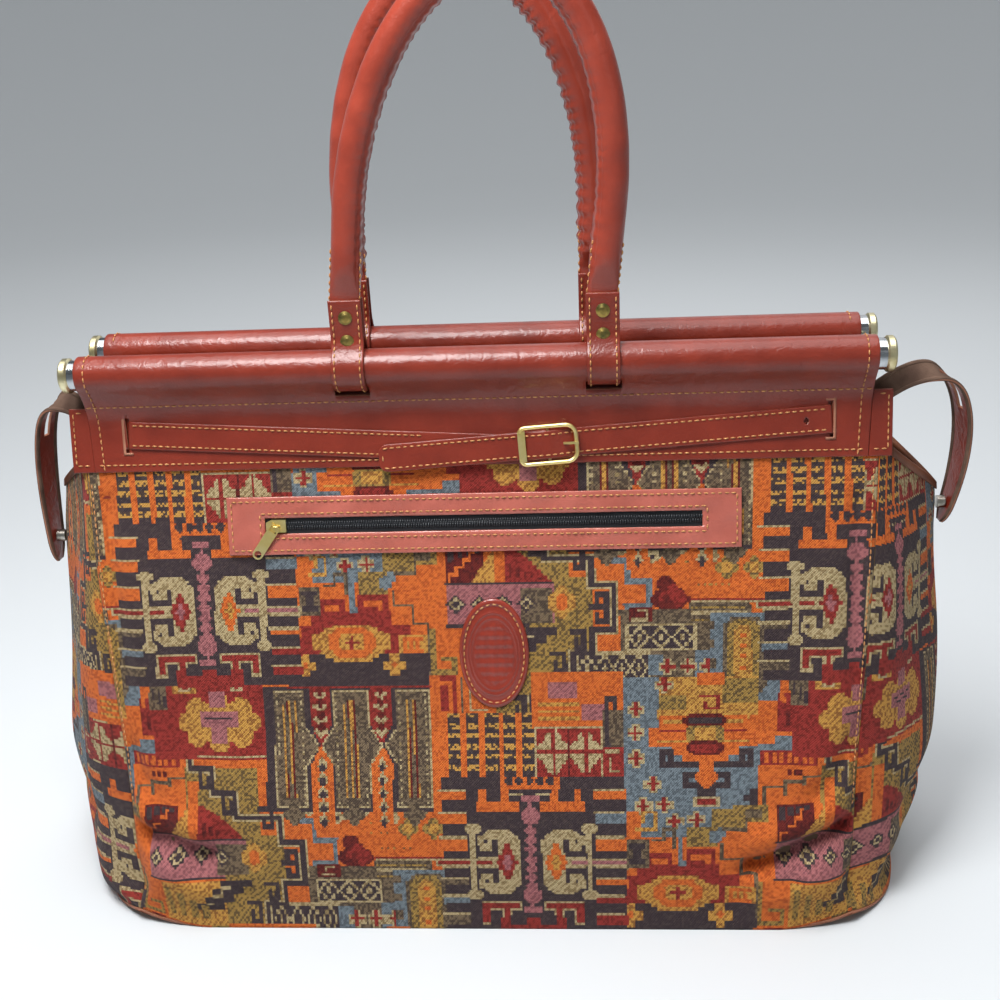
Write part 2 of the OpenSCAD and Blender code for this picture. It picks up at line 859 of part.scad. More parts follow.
// Height of the right half's middle above the flap: over the left half, over the bar, then down
function belt_level(x) =
    lerp(upper_share, lower_share, ease((x + step_len / 2) / step_len)) * belt_t
    + (abs(x) < hump_half ? hump_rise * pow(cos(90 * x / hump_half), 2) : 0) + ply_gap;

// Right half: through the buckle with a rounded free tip, a prong hole and a spare hole
module belt_right() {
    run = right_run / cos(right_slope);
    line = [for (x = [-tip_len:belt_step:run]) [x, belt_level(x)], [run, belt_level(run)]];
    color(leather_colour)
        on_belt(-right_slope) {
            difference() {
                intersection() {
                    linear_extrude(belt_w, center = true) strip(line, belt_t - ply_gap);
                    ply(-over, band_t + 4 * belt_t + hump_rise)
                        translate([(run - tip_len) / 2 + belt_corner, 0])
                            rounded_rect(run + tip_len + 2 * belt_corner, belt_w, belt_corner);
                }
                for (hole = [[prong_hole_x, prong_hole_r], [spare_hole_x, spare_hole_r]])
                    translate([hole[0], 0, 0])
                        rotate([90, 0, 0])
                            cylinder(r = hole[1], h = 2 * hump_half, center = true);
            }
            translate([run - belt_t / 2, -belt_t, -belt_w / 2])
                cube([belt_t, belt_t + band_t - ply_gap, belt_w]);
        }
}

// Quarter bend of buckle wire about a corner's centre
module wire_bend(x, z, r, turn) {
    translate([x, 0, z])
        rotate([90, 0, 0])
            rotate([0, 0, turn])
                rotate_extrude(angle = 90) translate([r, 0]) circle(buckle_wire / 2);
}

module wire_bar(from, to) {
    d = to - from;
    translate(from)
        rotate([0, atan2(d[0], d[2]), 0])
            cylinder(r = buckle_wire / 2, h = norm(d));
}

// Buckle: wire loop with a flat bar at the tip's side and a set-back centre bar
module buckle_frame() {
    reach = buckle_w / 2 - buckle_wire / 2;
    tall = buckle_h / 2 - buckle_wire / 2;
    right_x = reach - frame_corner;
    left_x = -reach + frame_small_corner;
    color(brass_colour)
        on_belt(-right_slope) {
            translate([0, -frame_rise, 0]) {
                for (s = [-1, 1]) wire_bar([left_x, 0, s * tall], [right_x, 0, s * tall]);
                wire_bar([reach, 0, frame_corner - tall], [reach, 0, tall - frame_corner]);
                wire_bend(right_x, tall - frame_corner, frame_corner, 0);
                wire_bend(right_x, frame_corner - tall, frame_corner, -90);
                wire_bend(left_x, tall - frame_small_corner, frame_small_corner, 90);
                wire_bend(left_x, frame_small_corner - tall, frame_small_corner, 180);
                translate([-buckle_w / 2 + frame_bar_w / 2, 0, 0])
                    cube([frame_bar_w, frame_bar_t, buckle_h - 2 * frame_small_corner], center = true);
            }
            translate([0, -bar_rise, 0]) cylinder(r = bar_dia / 2, h = 2 * tall, center = true);
            for (s = [-1, 1])
                translate([0, -bar_rise, s * tall])
                    rotate([90, 0, 0])
                        cylinder(r = bar_dia / 2, h = frame_rise - bar_rise);
        }
}

// Prong: an eye on the bar and a bent tongue through the strap onto the far bar
module prong_shape() {
    bar_top = frame_rise + buckle_wire / 2;
    tongue = bar_top + prong_w / 2;
    eye_r = bar_dia / 2 + ply_gap;
    reach = buckle_w / 2;
    strip([
        [eye_r + prong_eye / 2, bar_rise], [prong_hole_x - prong_hole_r, bar_rise + prong_w / 4],
        [prong_hole_x + prong_hole_r, tongue - prong_w / 2], [reach - buckle_wire - prong_w, tongue],
        [reach, tongue]
    ], prong_w);
    translate([0, -bar_rise])
        difference() {
            circle(eye_r + prong_eye);
            circle(eye_r);
        }
}

module buckle_prong() {
    color(brass_colour) on_belt(-right_slope) linear_extrude(prong_w, center = true) prong_shape();
}

// Side strap: a twisted leather ribbon from the front facing over to the snap
function bezier(p, t) =
    pow(1 - t, 3) * p[0] + 3 * t * pow(1 - t, 2) * p[1] + 3 * t * t * (1 - t) * p[2] + pow(t, 3) * p[3];
strap_start_z = peak_h + strap_rise[0];
strap_start_y = -half_depth(strap_start_z) + (cloth_t + facing_t) / cos(tilt) + strap_t;
function strap_points(side) = [for (i = [0:3])
    let (z = peak_of(side) + (side > 0 ? strap_rise : left_strap_rise)[i])
    [half_width(z) + (side > 0 ? strap_reach : left_strap_reach)[i], strap_depth_shares[i] * strap_start_y, z]];
function strap_pt(t, side) = bezier(strap_points(side), t);
function strap_along(t, side) =
    let (d = strap_pt(min(1, t + strap_step_share), side) - strap_pt(max(0, t - strap_step_share), side))
    d / norm(d);
function strap_across(t, side) =
    let (
        upright = [0, sin(tilt), cos(tilt)],
        level = [-strap_twist_share * sin(180 * t), 1, 0],
        w = lerp(upright, level / norm(level), ease(2 * t)),
        d = strap_along(t, side),
        flat_w = w - (w * d) * d
    ) flat_w / norm(flat_w);
function strap_width(t) =
    let (w = lerp(strap_start_w, strap_end_w, ease(t)))
    t < strap_tip_share ? w : w * lerp(1, tab_square_share, (t - strap_tip_share) / (1 - strap_tip_share));
function strap_ring(t, side, w, thick) =
    let (
        across = strap_across(t, side),
        a = across * w / 2,
        n = cross(strap_along(t, side), across) * thick / 2,
        p = strap_pt(t, side)
    )
    [p - a - n, p + a - n, p + a + n, p - a + n];

module side_strap(side) {
    difference() {
        ring_solid([for (i = [0:strap_rings])
            let (t = i / strap_rings) strap_ring(t, side, strap_width(t), strap_t)]);
        ring_solid([for (i = [0:slot_rings])
            let (t = lerp(strap_slot_from_share, strap_slot_to_share, i / slot_rings))
            strap_ring(t, side, strap_slot_w, strap_t + 2 * over)]);
    }
}

module left_side_strap() {
    color(leather_colour) mirror([1, 0, 0]) side_strap(-1);
}

module right_side_strap() {
    color(leather_colour) side_strap(1);
}

// Snap: a stud between the gusset's crease and the strap, and a cap on the strap's outer face
module snap(side) {
    at = strap_pt(snap_at_share, side);
    z = at[2];
    inner = side_x(0, z, side);
    way = strap_along(snap_at_share, side);
    lean = atan2(way[0], -way[2]);
    outer = at[0] - strap_t / 2;
    translate([inner + snap_room, 0, z])
        rotate([0, 90, 0])
            cylinder(r = snap_dia / 2, h = outer - inner - 3 * snap_room);
    translate(at)
        rotate([0, 90 - lean, 0])
            translate([0, 0, strap_t / 2 + snap_room + ply_gap])
                cylinder(r = snap_dia / 2 + snap_cap_over, h = snap_cap_t);
}

module left_snap() {
    color(brass_colour) mirror([1, 0, 0]) snap(-1);
}

module right_snap() {
    color(brass_colour) snap(1);
}

// Handle loop: a leather strip round the sleeve, pinched above it to hold the handle's flat end
module handle_loop(x, y) {
    gap_half = tab_t / 2 + tab_gap;
    ply_half = gap_half + loop_t;
    out_r = loop_r + loop_t;
    out_right = tangent_pt([ply_half, pinch_h], out_r, -1);
    in_right = tangent_pt([gap_half, pinch_in_h], loop_r, -1);
    color(leather_colour)
        translate([x, y, rod_h])
            difference() {
                union() {
                    x_cylinder(out_r, loop_w);
                    along_x(loop_w)
                        polygon([
                            [0, 0], out_right, [ply_half, pinch_h], [ply_half, loop_top],
                            [-ply_half, loop_top], [-ply_half, pinch_h], [-out_right[0], out_right[1]]
                        ]);
                }
                x_cylinder(loop_r, loop_w + 2 * over);
                along_x(loop_w + 2 * over)
                    polygon([
                        [0, 0], in_right, [gap_half, pinch_in_h], [gap_half, loop_top + over],
                        [-gap_half, loop_top + over], [-gap_half, pinch_in_h], [-in_right[0], in_right[1]]
                    ]);
                rivet_holes();
            }
}

module rivet_holes() {
    for (i = [0, 1])
        translate([0, 0, rivet_low + i * rivet_pitch])
            rotate([90, 0, 0])
                cylinder(r = rivet_hole_r, h = 2 * loop_top, center = true);
}

// Middle line of a handle as [sideways, above the rod]: two legs and a tall arch that leans
function handle_line(lean) =
    let (
        half = handle_span / 2,
        rise = handle_rise - arch_spring,
        legs = [for (i = [0:leg_rings - 1]) lerp(tab_low, arch_spring, pow(i / leg_rings, leg_ease_share))],
        arch = [for (i = [0:arch_rings]) let (a = 180 - 180 * i / arch_rings)
            [half * cos(a), arch_spring + rise * sin(a)]],
        line = concat(
            [for (h = legs) [-half, h]],
            arch,
            [for (i = [leg_rings - 1:-1:0]) [half, legs[i]]]
        )
    )
    [for (p = line) [p[0] + lean * clamp01((p[1] - loop_top) / (handle_rise - loop_top)), p[1]]];

// Rolled handle: round in the hand, flattened at its ends between the loops' plies
module handle(x, y, lean) {
    line = handle_line(lean);
    last = len(line) - 1;
    rings = [for (i = [0:last])
        let (
            d = line[min(last, i + 1)] - line[max(0, i - 1)],
            along = d / norm(d),
            side = [along[1], 0, -along[0]],
            roll = ease((line[i][1] - loop_top) / roll_len),
            thick = lerp(tab_t, handle_dia, roll) / 2,
            e = lerp(tab_square_share, 1, roll),
            centre = [line[i][0], 0, line[i][1]]
        )
        [for (k = [0:handle_sides - 1])
            let (a = 360 * (k + 0.5) / handle_sides)
            centre + side * handle_dia / 2 * signed_pow(cos(a), e) + [0, thick * signed_pow(sin(a), e), 0]]];
    color(leather_colour)
        translate([x, y, rod_h])
            difference() {
                ring_solid(rings);
                for (s = [-1, 1]) translate([s * handle_span / 2, 0, 0]) rivet_holes();
            }
}

// Rivet: two domed caps on one shank
module rivet() {
    seat = tab_t / 2 + tab_gap + loop_t + rivet_seat;
    r = rivet_cap_dia / 2;
    shoulder = rivet_shoulder_share * rivet_cap_t;
    edge = rivet_edge_share * rivet_cap_t;
    rotate([90, 0, 0])
        rotate_extrude()
            polygon([
                [0, -seat - rivet_cap_t], [r / 2, -seat - shoulder], [r, -seat - edge], [r, -seat],
                [rivet_shank_r, -seat], [rivet_shank_r, seat],
                [r, seat], [r, seat + edge], [r / 2, seat + shoulder], [0, seat + rivet_cap_t]
            ]);
}

module rivet_group(x, y) {
    color(brass_colour)
        for (s = [-1, 1], i = [0, 1])
            translate([x + s * handle_span / 2, y, rod_h + rivet_low + i * rivet_pitch]) rivet();
}

module front_left_loop() {
    handle_loop(front_handle_x - handle_span / 2, rod_y);
}

module front_right_loop() {
    handle_loop(front_handle_x + handle_span / 2, rod_y);
}

module front_handle() {
    handle(front_handle_x, rod_y, front_handle_lean);
}

module front_handle_rivets() {
    rivet_group(front_handle_x, rod_y);
}

module rear_left_loop() {
    handle_loop(rear_handle_x - handle_span / 2, -rod_y);
}

module rear_right_loop() {
    handle_loop(rear_handle_x + handle_span / 2, -rod_y);
}

module rear_handle() {
    handle(rear_handle_x, -rod_y, rear_handle_lean);
}

module rear_handle_rivets() {
    rivet_group(rear_handle_x, -rod_y);
}

base_panel();
front_panel();
rear_panel();
left_gusset();
right_gusset();
left_gusset_binding();
right_gusset_binding();
front_facing();
rear_facing();
front_band();
rear_band();
front_rod();
rear_rod();
front_left_cap();
front_right_cap();
rear_left_cap();
rear_right_cap();
pocket_bag();
zip_tape();
zip_coil();
zip_surround();
zip_slider();
zip_puller();
badge();
belt_left();
belt_right();
buckle_frame();
buckle_prong();
left_side_strap();
right_side_strap();
left_snap();
right_snap();
front_left_loop();
front_right_loop();
front_handle();
front_handle_rivets();
rear_left_loop();
rear_right_loop();
rear_handle();
rear_handle_rivets();
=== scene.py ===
import bpy
import numpy as np
from mathutils import Matrix, Vector


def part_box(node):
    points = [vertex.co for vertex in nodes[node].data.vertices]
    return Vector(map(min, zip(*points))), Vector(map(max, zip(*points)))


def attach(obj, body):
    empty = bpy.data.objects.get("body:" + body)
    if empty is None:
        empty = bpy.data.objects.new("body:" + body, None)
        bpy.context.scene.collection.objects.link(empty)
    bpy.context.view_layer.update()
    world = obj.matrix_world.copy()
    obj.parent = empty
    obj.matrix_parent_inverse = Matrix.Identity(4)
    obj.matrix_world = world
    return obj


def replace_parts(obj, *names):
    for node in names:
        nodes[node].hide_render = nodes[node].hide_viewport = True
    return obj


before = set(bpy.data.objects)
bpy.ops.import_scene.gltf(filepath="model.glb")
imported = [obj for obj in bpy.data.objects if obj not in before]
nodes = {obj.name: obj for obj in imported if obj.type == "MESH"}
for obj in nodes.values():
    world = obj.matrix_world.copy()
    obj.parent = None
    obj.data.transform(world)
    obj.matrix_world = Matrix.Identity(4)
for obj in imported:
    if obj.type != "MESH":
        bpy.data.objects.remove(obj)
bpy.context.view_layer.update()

# Base: one stiff tan leather sheet under the whole bag, cut to the foot of the cloth.
# It is thick side leather, and its edge shows as a thin tan line below the cloth.
MM = 0.001
base_low, base_high = (np.array(corner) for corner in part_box("base_panel"))
base_depth, base_top = base_high[1] - base_low[1], base_high[2]
base_length, top_length, mouth_depth, edge_height = 536 * MM, 550 * MM, 73 * MM, 331 * MM
cloth_thick, cloth_lap = 1.8 * MM, 10 * MM
lean = np.arctan((base_depth - mouth_depth) / 2 / edge_height)
edge_up = edge_height / np.cos(lean)
cloth_foot = base_top + cloth_thick * np.sin(lean)
cloth_head = (edge_up + cloth_lap) * np.cos(lean)
crease_base, crease_full, crease_full_height = 38 * MM, 61 * MM, 110 * MM
right_crease, left_crease = (48 * MM, 296 * MM, 2), (31 * MM, 312 * MM, 1.2)
lip = 0.8 * MM


def linear(hex_colour):
    """sRGB hex to linear colour: the sRGB curve undone channel by channel."""
    c = np.array([int(hex_colour[i:i + 2], 16) for i in (1, 3, 5)]) / 255
    return (*np.where(c <= 0.04045, c / 12.92, ((c + 0.055) / 1.055) ** 2.4), 1.0)


def feed(tree, node, sockets):
    """Set a node's sockets, each to a plain value or to the output that feeds it."""
    for name, value in sockets.items():
        if isinstance(value, bpy.types.NodeSocket):
            tree.links.new(value, node.inputs[name])
        else:
            node.inputs[name].default_value = value


def put(tree, kind, sockets, out=0, **settings):
    """Add one shader node with its own switches set and its sockets fed; gives the output asked for."""
    made = tree.nodes.new("ShaderNode" + kind)
    for name, value in settings.items():
        setattr(made, name, value)
    feed(tree, made, sockets)
    return made.outputs[out]


def fresh_finish(name, **sockets):
    """Node material with its shader's plain sockets set; gives the material, its tree and its shader."""
    finish = bpy.data.materials.new(name)
    finish.use_nodes = True
    shader = finish.node_tree.nodes["Principled BSDF"]
    feed(finish.node_tree, shader, {socket.replace("_", " "): value for socket, value in sockets.items()})
    return finish, finish.node_tree, shader


def two_tone(tree, value, low, high, shade, colour):
    """Colour that goes from shade to colour as the value goes from low to high."""
    tone = put(tree, "MapRange", {"Value": value, "From Min": low, "From Max": high})
    return put(tree, "Mix", {0: tone, 6: linear(shade), 7: linear(colour)}, 2, data_type="RGBA")


def leather(name, dye, shade, gloss, grain=1.3, mottle=26, crease=11, shine=0.1):
    """Drum-dyed leather with a plated grain: the dye clouds over `mottle` mm, pebbles are `grain` mm wide, and
    soft wrinkles `crease` mm apart break up the gloss. `shine` is the weight of the clear glaze on top."""
    finish, tree, shader = fresh_finish(name, Specular_IOR_Level=0.25, Coat_Weight=shine, Coat_Roughness=0.2)
    place = put(tree, "TexCoord", {}, "Object")
    cloud = put(tree, "TexNoise", {"Vector": place, "Scale": 1 / (mottle * MM), "Detail": 5})
    pebble = put(tree, "TexVoronoi", {"Vector": place, "Scale": 1 / (grain * MM)})
    wrinkle = put(tree, "TexNoise", {"Vector": place, "Scale": 1 / (crease * MM), "Detail": 3, "Distortion": 0.8})
    rough = put(tree, "MapRange", {"Value": cloud, "To Min": gloss + 0.1, "To Max": gloss - 0.06})
    low = put(tree, "Bump", {"Height": wrinkle, "Strength": 0.4, "Distance": 1.3 * MM})
    high = put(tree, "Bump", {"Height": pebble, "Strength": 0.22, "Distance": 0.25 * MM, "Normal": low})
    feed(tree, shader, {"Base Color": two_tone(tree, cloud, 0.3, 0.7, shade, dye), "Roughness": rough,
                        "Normal": high, "Coat Normal": high})
    return finish


def dress(obj, *finishes):
    """Give a piece its finishes, one per material slot."""
    obj.data.materials.clear()
    for finish in finishes:
        obj.data.materials.append(finish)


def blend(a, b, t):
    """Straight mix of a and b."""
    return a + (b - a) * t


def ease(t):
    """Smooth step from 0 to 1."""
    t = np.clip(t, 0, 1)
    return t * t * (3 - 2 * t)


def half_depth(z):
    """Half the bag's depth at a height."""
    return blend(base_depth, mouth_depth, z / edge_height) / 2


def half_length(z):
    """Half the front panel's length at a height."""
    return blend(base_length, top_length, z / edge_height) / 2


def side_places(q, v, crease):
    """Right gusset: q runs from the front seam (-1) through the crease (0) to the rear seam (1), v from base to
    mouth. The section is a power curve that goes from boxy to a plain fold, and out to the crease's reach. A
    crease is its reach at the peak, the peak's height, and how fast it draws in towards it."""
    peak, peak_height, fall = crease
    z = blend(cloth_foot, blend(peak_height, cloth_head, abs(q)), v)
    low = blend(crease_base, crease_full, ease(z / crease_full_height))
    risen = np.clip((z - crease_full_height) / (peak_height - crease_full_height), 0, None)
    reach = np.where(z < crease_full_height, low, blend(crease_full, peak, risen ** fall))
    square = blend(2.6, 1.15, np.clip(z / right_crease[1], 0, 1))
    return np.stack([half_length(z) + reach * (1 - abs(q) ** square), q * half_depth(z), z], -1)


def settle(points):
    """The bag's four lower corners, drawn in and lifted off the floor by the pull of the cloth."""
    pull, lift, wide, tall = 7 * MM, 8 * MM, 62 * MM, 70 * MM
    x, y, z = np.moveaxis(points, -1, 0)
    far = np.hypot(abs(x) - base_length / 2, abs(y) - base_depth / 2)
    near = np.clip(1 - far / wide, 0, 1) ** 2 * (1 - ease(z / tall))
    return np.stack([x - np.sign(x) * pull * near, y - np.sign(y) * pull * near, z + lift * near], -1)


def skin(name, points, faces):
    """Smooth mesh object from points (n x 3) and arrays of vertex numbers, one array for each count of corners."""
    corners = np.concatenate([f.ravel() for f in faces])
    sizes = np.concatenate([np.full(len(f), f.shape[1]) for f in faces])
    mesh = bpy.data.meshes.new(name)
    mesh.vertices.add(len(points))
    mesh.vertices.foreach_set("co", np.ascontiguousarray(points, dtype=np.float32).ravel())
    mesh.loops.add(len(corners))
    mesh.loops.foreach_set("vertex_index", corners.astype(np.int32))
    mesh.polygons.add(len(sizes))
    mesh.polygons.foreach_set("loop_start", (np.cumsum(sizes) - sizes).astype(np.int32))
    mesh.polygons.foreach_set("use_smooth", np.full(len(sizes), True))
    mesh.update(calc_edges=True)
    obj = bpy.data.objects.new(name, mesh)
    bpy.context.collection.objects.link(obj)
    return obj


def fitted(obj, body, slot, *finishes):
    """Dress a new piece and let it ride on its body. `slot` is not used."""
    dress(obj, *finishes)
    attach(obj, body)
    return obj


def unit(vectors):
    """Vectors drawn to length 1."""
    return vectors / np.linalg.norm(vectors, axis=-1, keepdims=True)


def outward(grid):
    """Unit normals of a grid of points (rows x columns x 3): columns crossed with rows."""
    return unit(np.cross(np.gradient(grid, axis=1), np.gradient(grid, axis=0)))


def cells(rows, cols, first=0):
    """Corner numbers of each cell of a rows x cols grid of points, counted from `first`."""
    at = first + np.arange(rows * cols).reshape(rows, cols)
    return np.stack([at[:-1, :-1], at[:-1, 1:], at[1:, 1:], at[1:, :-1]], -1).reshape(-1, 4)


def lines(start, end, step):
    """Grid places from start to end about `step` apart, and closer within a lip's width of both ends."""
    inner = np.linspace(start + lip, end - lip, max(2, int(round((end - start) / step))))
    near = lip * np.array([0, 0.12, 0.45])
    return np.r_[start + near, inner, end - near[::-1]]


def hide(name, middle, thick, finish, keep=None, body="bag", slot="leather", back=None):
    """Closed sheet of leather: a grid of middle points set out by half its thickness along the normals to both
    sides, with a raw rim round its border and round every hole that `keep` leaves out. The far side may differ."""
    rows, cols = middle.shape[:2]
    count = rows * cols
    set_out = outward(middle) * np.broadcast_to(thick, (rows, cols))[..., None] / 2
    points = np.concatenate([(middle + set_out).reshape(-1, 3), (middle - set_out).reshape(-1, 3)])
    quads = cells(rows, cols)
    if keep is not None:
        quads = quads[keep.ravel()]
    ways = np.concatenate([quads[:, [k, (k + 1) % 4]] for k in range(4)])
    border = ways[~np.isin(ways[:, 0] * count + ways[:, 1], ways[:, 1] * count + ways[:, 0])]
    rim = np.stack([border[:, 1], border[:, 0], border[:, 0] + count, border[:, 1] + count], -1)
    used, faces = np.unique(np.concatenate([quads, quads[:, ::-1] + count, rim]), return_inverse=True)
    obj = skin(name, points[used], [faces.reshape(-1, 4)])
    fitted(obj, body, slot, finish, raw_edge, back or finish)
    kinds = np.repeat([0, 2, 1], [len(quads), len(quads), len(rim)]).astype(np.int32)
    obj.data.polygons.foreach_set("material_index", kinds)
    return obj


base_leather = leather("tan_side_leather", "#a8714c", "#7c4e33", 0.6)
raw_edge = leather("cut_leather_edge", "#a9745c", "#85533f", 0.75)
q, p = np.meshgrid(lines(-1, 1, 0.04), lines(-1, 1, 0.02), indexing="ij")
foot = [side_places(q, 0 * q, crease)[..., 0] for crease in (left_crease, right_crease)]
base_grid = settle(np.stack([p * np.where(p < 0, *foot), q * base_depth / 2, 0 * q], -1)) + (0, 0, base_top / 2)
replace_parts(hide("base_leather_sheet", base_grid, base_top, base_leather, slot="base_leather"), "base_panel")

# Front and rear panels: heavy tapestry cloth, jacquard-woven in a half-drop repeat of stepped hooks,
# combs, rhombs and columns. Each is one cut piece, sewn to the base, the gussets and the bands.
# The repeat is drawn in millimetres across and down, as blocks, rhombs, discs and stepped trails.
repeat_across, repeat_down = 455, 372
weft, warp = np.arange(0.5, repeat_across)[None], np.arange(0.5, repeat_down)[:, None]
dye = np.zeros((repeat_down, repeat_across), int)
ORANGE, RED, PLUM, CREAM, OLIVE, GOLD, SLATE, MAUVE, MAROON, BEIGE, SPECK = range(11)


def paint(hue, x, s, inside, many=1, dx=0, ds=0):
    """Dye the cells for which inside(across, down) holds, measured from (x, s), and again half a repeat on.
    `many` such shapes make a row, each (dx, ds) on from the last."""
    for k, half in np.ndindex(many, 2):
        across = (weft - x - k * dx + (1 - half) * repeat_across / 2) % repeat_across - repeat_across / 2
        down = (warp - s - k * ds + (1 - half) * repeat_down / 2) % repeat_down - repeat_down / 2
        dye[inside(across, down)] = hue


def block(hue, x0, s0, x1, s1, **row):
    """Block from corner to corner."""
    w, h = abs(x1 - x0) / 2, abs(s1 - s0) / 2
    paint(hue, (x0 + x1) / 2, (s0 + s1) / 2, lambda a, d: (abs(a) <= w) & (abs(d) <= h), **row)


def rhomb(hue, x, s, w, h, step=2, **row):
    """Rhomb of half sizes w and h with stepped sides."""
    paint(hue, x, s, lambda a, d: (abs(a) // step * step) / w + (abs(d) // step * step) / h < 1, **row)


def cut_block(hue, x, s, w, h, cut):
    """Block of half sizes w and h with its corners cut off by `cut`, in steps."""
    paint(hue, x, s, lambda a, d: (abs(a) <= w) & (abs(d) <= h)
          & (abs(a) // 2 * 2 + abs(d) // 2 * 2 <= w + h - cut))


def disc(hue, x, s, r, **row):
    """Disc of radius r."""
    paint(hue, x, s, lambda a, d: a * a + d * d < r * r, **row)


def trail(hue, thick, *corners, **row):
    """Line of square turns through the corners."""
    t = thick / 2
    for (x0, s0), (x1, s1) in zip(corners, corners[1:]):
        block(hue, min(x0, x1) - t, min(s0, s1) - t, max(x0, x1) + t, max(s0, s1) + t, **row)


def pair(hue, thick, axis, top, *corners):
    """The same trail on both sides of an upright axis, its corners measured out from the axis and down from top."""
    for side in (-1, 1):
        trail(hue, thick, *((axis + side * x, top + s) for x, s in corners))


def hook(hue, x, s, w, h, thick=3):
    """Square hook: along, up or down, and back in; the signs of w and h turn it."""
    trail(hue, thick, (x, s), (x + w, s), (x + w, s + h), (x + 0.35 * w, s + h), (x + 0.35 * w, s + 0.5 * h))


def cross(hue, x, s, r=5, thick=2.4, rim=None, **row):
    """Cross of two bars, with or without a rim of another hue."""
    for colour, wide in ((rim, thick + 2.8), (hue, thick)):
        if colour is not None:
            trail(colour, wide, (x - r, s), (x + r, s), **row)
            trail(colour, wide, (x, s - r), (x, s + r), **row)


# Orange field with a stepped slate line, cream drops, gold flowers and a red heart
block(ORANGE, 60, 52, 206, 108)
trail(SLATE, 3.4, (89, 57), (89, 69), (104, 69), (104, 84), (119, 84), (119, 101), (103, 101), (103, 132))
for x, s in ((121, 66), (161, 67), (100, 60), (141, 60), (183, 60)):
    rhomb(CREAM, x, s, 4.5, 5)
    block(PLUM, x - 1, s - 1, x + 1, s + 3)
rhomb(OLIVE, 172, 75, 8, 8, many=2, dx=18.5)
disc(GOLD, 172, 75, 4, many=2, dx=18.5)
for s in (70, 74, 78):
    block(OLIVE, 144, s, 145.6, s + 1.4, many=4, dx=4)
for s in (86, 90):
    block(OLIVE, 152, s, 153.6, s + 1.4, many=6, dx=4)
trail(RED, 2, (140, 97), (206, 97))
trail(CREAM, 1.4, (148, 99), (206, 99))
disc(MAROON, 130, 86, 6.5)
rhomb(MAROON, 133, 97, 14, 14)
rhomb(RED, 135, 96, 9, 9)
rhomb(MAROON, 131, 106, 6, 11)
# Beige rows under it, lozenge bars, and red crosses
block(BEIGE, 98, 104, 160, 154)
block(BEIGE, 146, 100, 188, 116)
for hue, s in ((OLIVE, 103), (CREAM, 107), (OLIVE, 112)):
    trail(hue, 1.4, (148, s), (184, s))
block(MAROON, 104, 103, 121, 113)
hook(CREAM, 107, 111, 10, -6, 1.6)
for x0, s0, x1, s1, many in ((104, 116, 149, 132, 3), (69, 136, 117, 155, 4)):
    block(CREAM, x0 - 1.5, s0 - 1.5, x1 + 1.5, s1 + 1.5)
    block(PLUM, x0, s0, x1, s1)
    wide = (x1 - x0) / many
    for hue, share in ((CREAM, 0.52), (PLUM, 0.36), (CREAM, 0.13)):
        rhomb(hue, x0 + wide / 2, (s0 + s1) / 2, share * wide, share * (s1 - s0), 1, many=many, dx=wide)
block(SLATE, 118, 137, 128, 151)
block(SLATE, 150, 134, 164, 152)
cross(RED, 131, 145, 3.6, 2.2, CREAM, many=3, dx=14)
# Tall gold flame on slate at the comb's foot
block(SLATE, 160, 107, 208, 170)
cut_block(BEIGE, 184, 138, 15, 28, 8)
cut_block(OLIVE, 183, 138, 11, 27, 8)
cut_block(GOLD, 183, 138, 6, 23, 6)
block(ORANGE, 181, 121, 185, 124, many=5, ds=8)
block(BEIGE, 160, 112, 164, 118, many=4, ds=14)
# Slate field, with gold and olive patches over the flame
for box in ((-127, -34, -52, 62), (-116, 60, -58, 84), (-54, 16, -20, 58)):
    block(SLATE, *box)
block(GOLD, -102, -34, -34, -6)
block(OLIVE, -58, -32, -34, -14)
block(OLIVE, -102, -20, -84, -8)
block(ORANGE, -76, -36, -58, -28)
trail(RED, 2.6, (-74, -19), (-62, -19), (-62, -10), (-70, -10), (-70, -14))
# Flame medallion with dark arms on the slate, and red crosses
block(GOLD, -104, -9, -40, -3)
block(ORANGE, -102, -5, -42, 4)
block(ORANGE, -110, 3, -35, 17)
for hue, s, grow in ((GOLD, -1, -1), (RED, 6, 2), (GOLD, 13, 4)):
    trail(hue, 1.4, (-100 - grow, s), (-44 + grow, s))
block(ORANGE, -94, 16, -48, 23)
block(ORANGE, -86, 22, -56, 29)
for hue, s, w, h, cut in ((MAROON, -2, 15, 5, 5), (PLUM, -2, 11, 2, 2), (OLIVE, 8, 13, 6, 4), (GOLD, 8, 7, 4, 3),
                          (MAROON, 18, 14, 4.5, 5), (RED, 18, 9, 2.5, 2)):
    cut_block(hue, -71, s, w, h, cut)
pair(PLUM, 3.4, -70.5, 0, (25, 25), (25, 21), (31, 21), (31, 29), (6, 29))
pair(PLUM, 3.4, -70.5, 0, (8, 37), (15, 37), (15, 44), (4, 44))
block(PLUM, -77, 40, -64, 52)
block(ORANGE, -75, 26, -66, 38)
rhomb(ORANGE, -70.5, 38, 8, 9, 1)
block(CREAM, -79, 53, -62, 60)
block(RED, -77, 54.5, -64, 58.5)
for x, s in ((-119, -10), (-119.5, 7), (-119.5, 25), (-108, 43), (-115, 59), (-100, 58), (-93, 70), (-78, 69),
             (-99, -28)):
    cross(RED, x, s, 3.8, 2.2, CREAM)
cross(PLUM, -26, 42, 4.5, 4.5, many=2, dx=-12, ds=11)
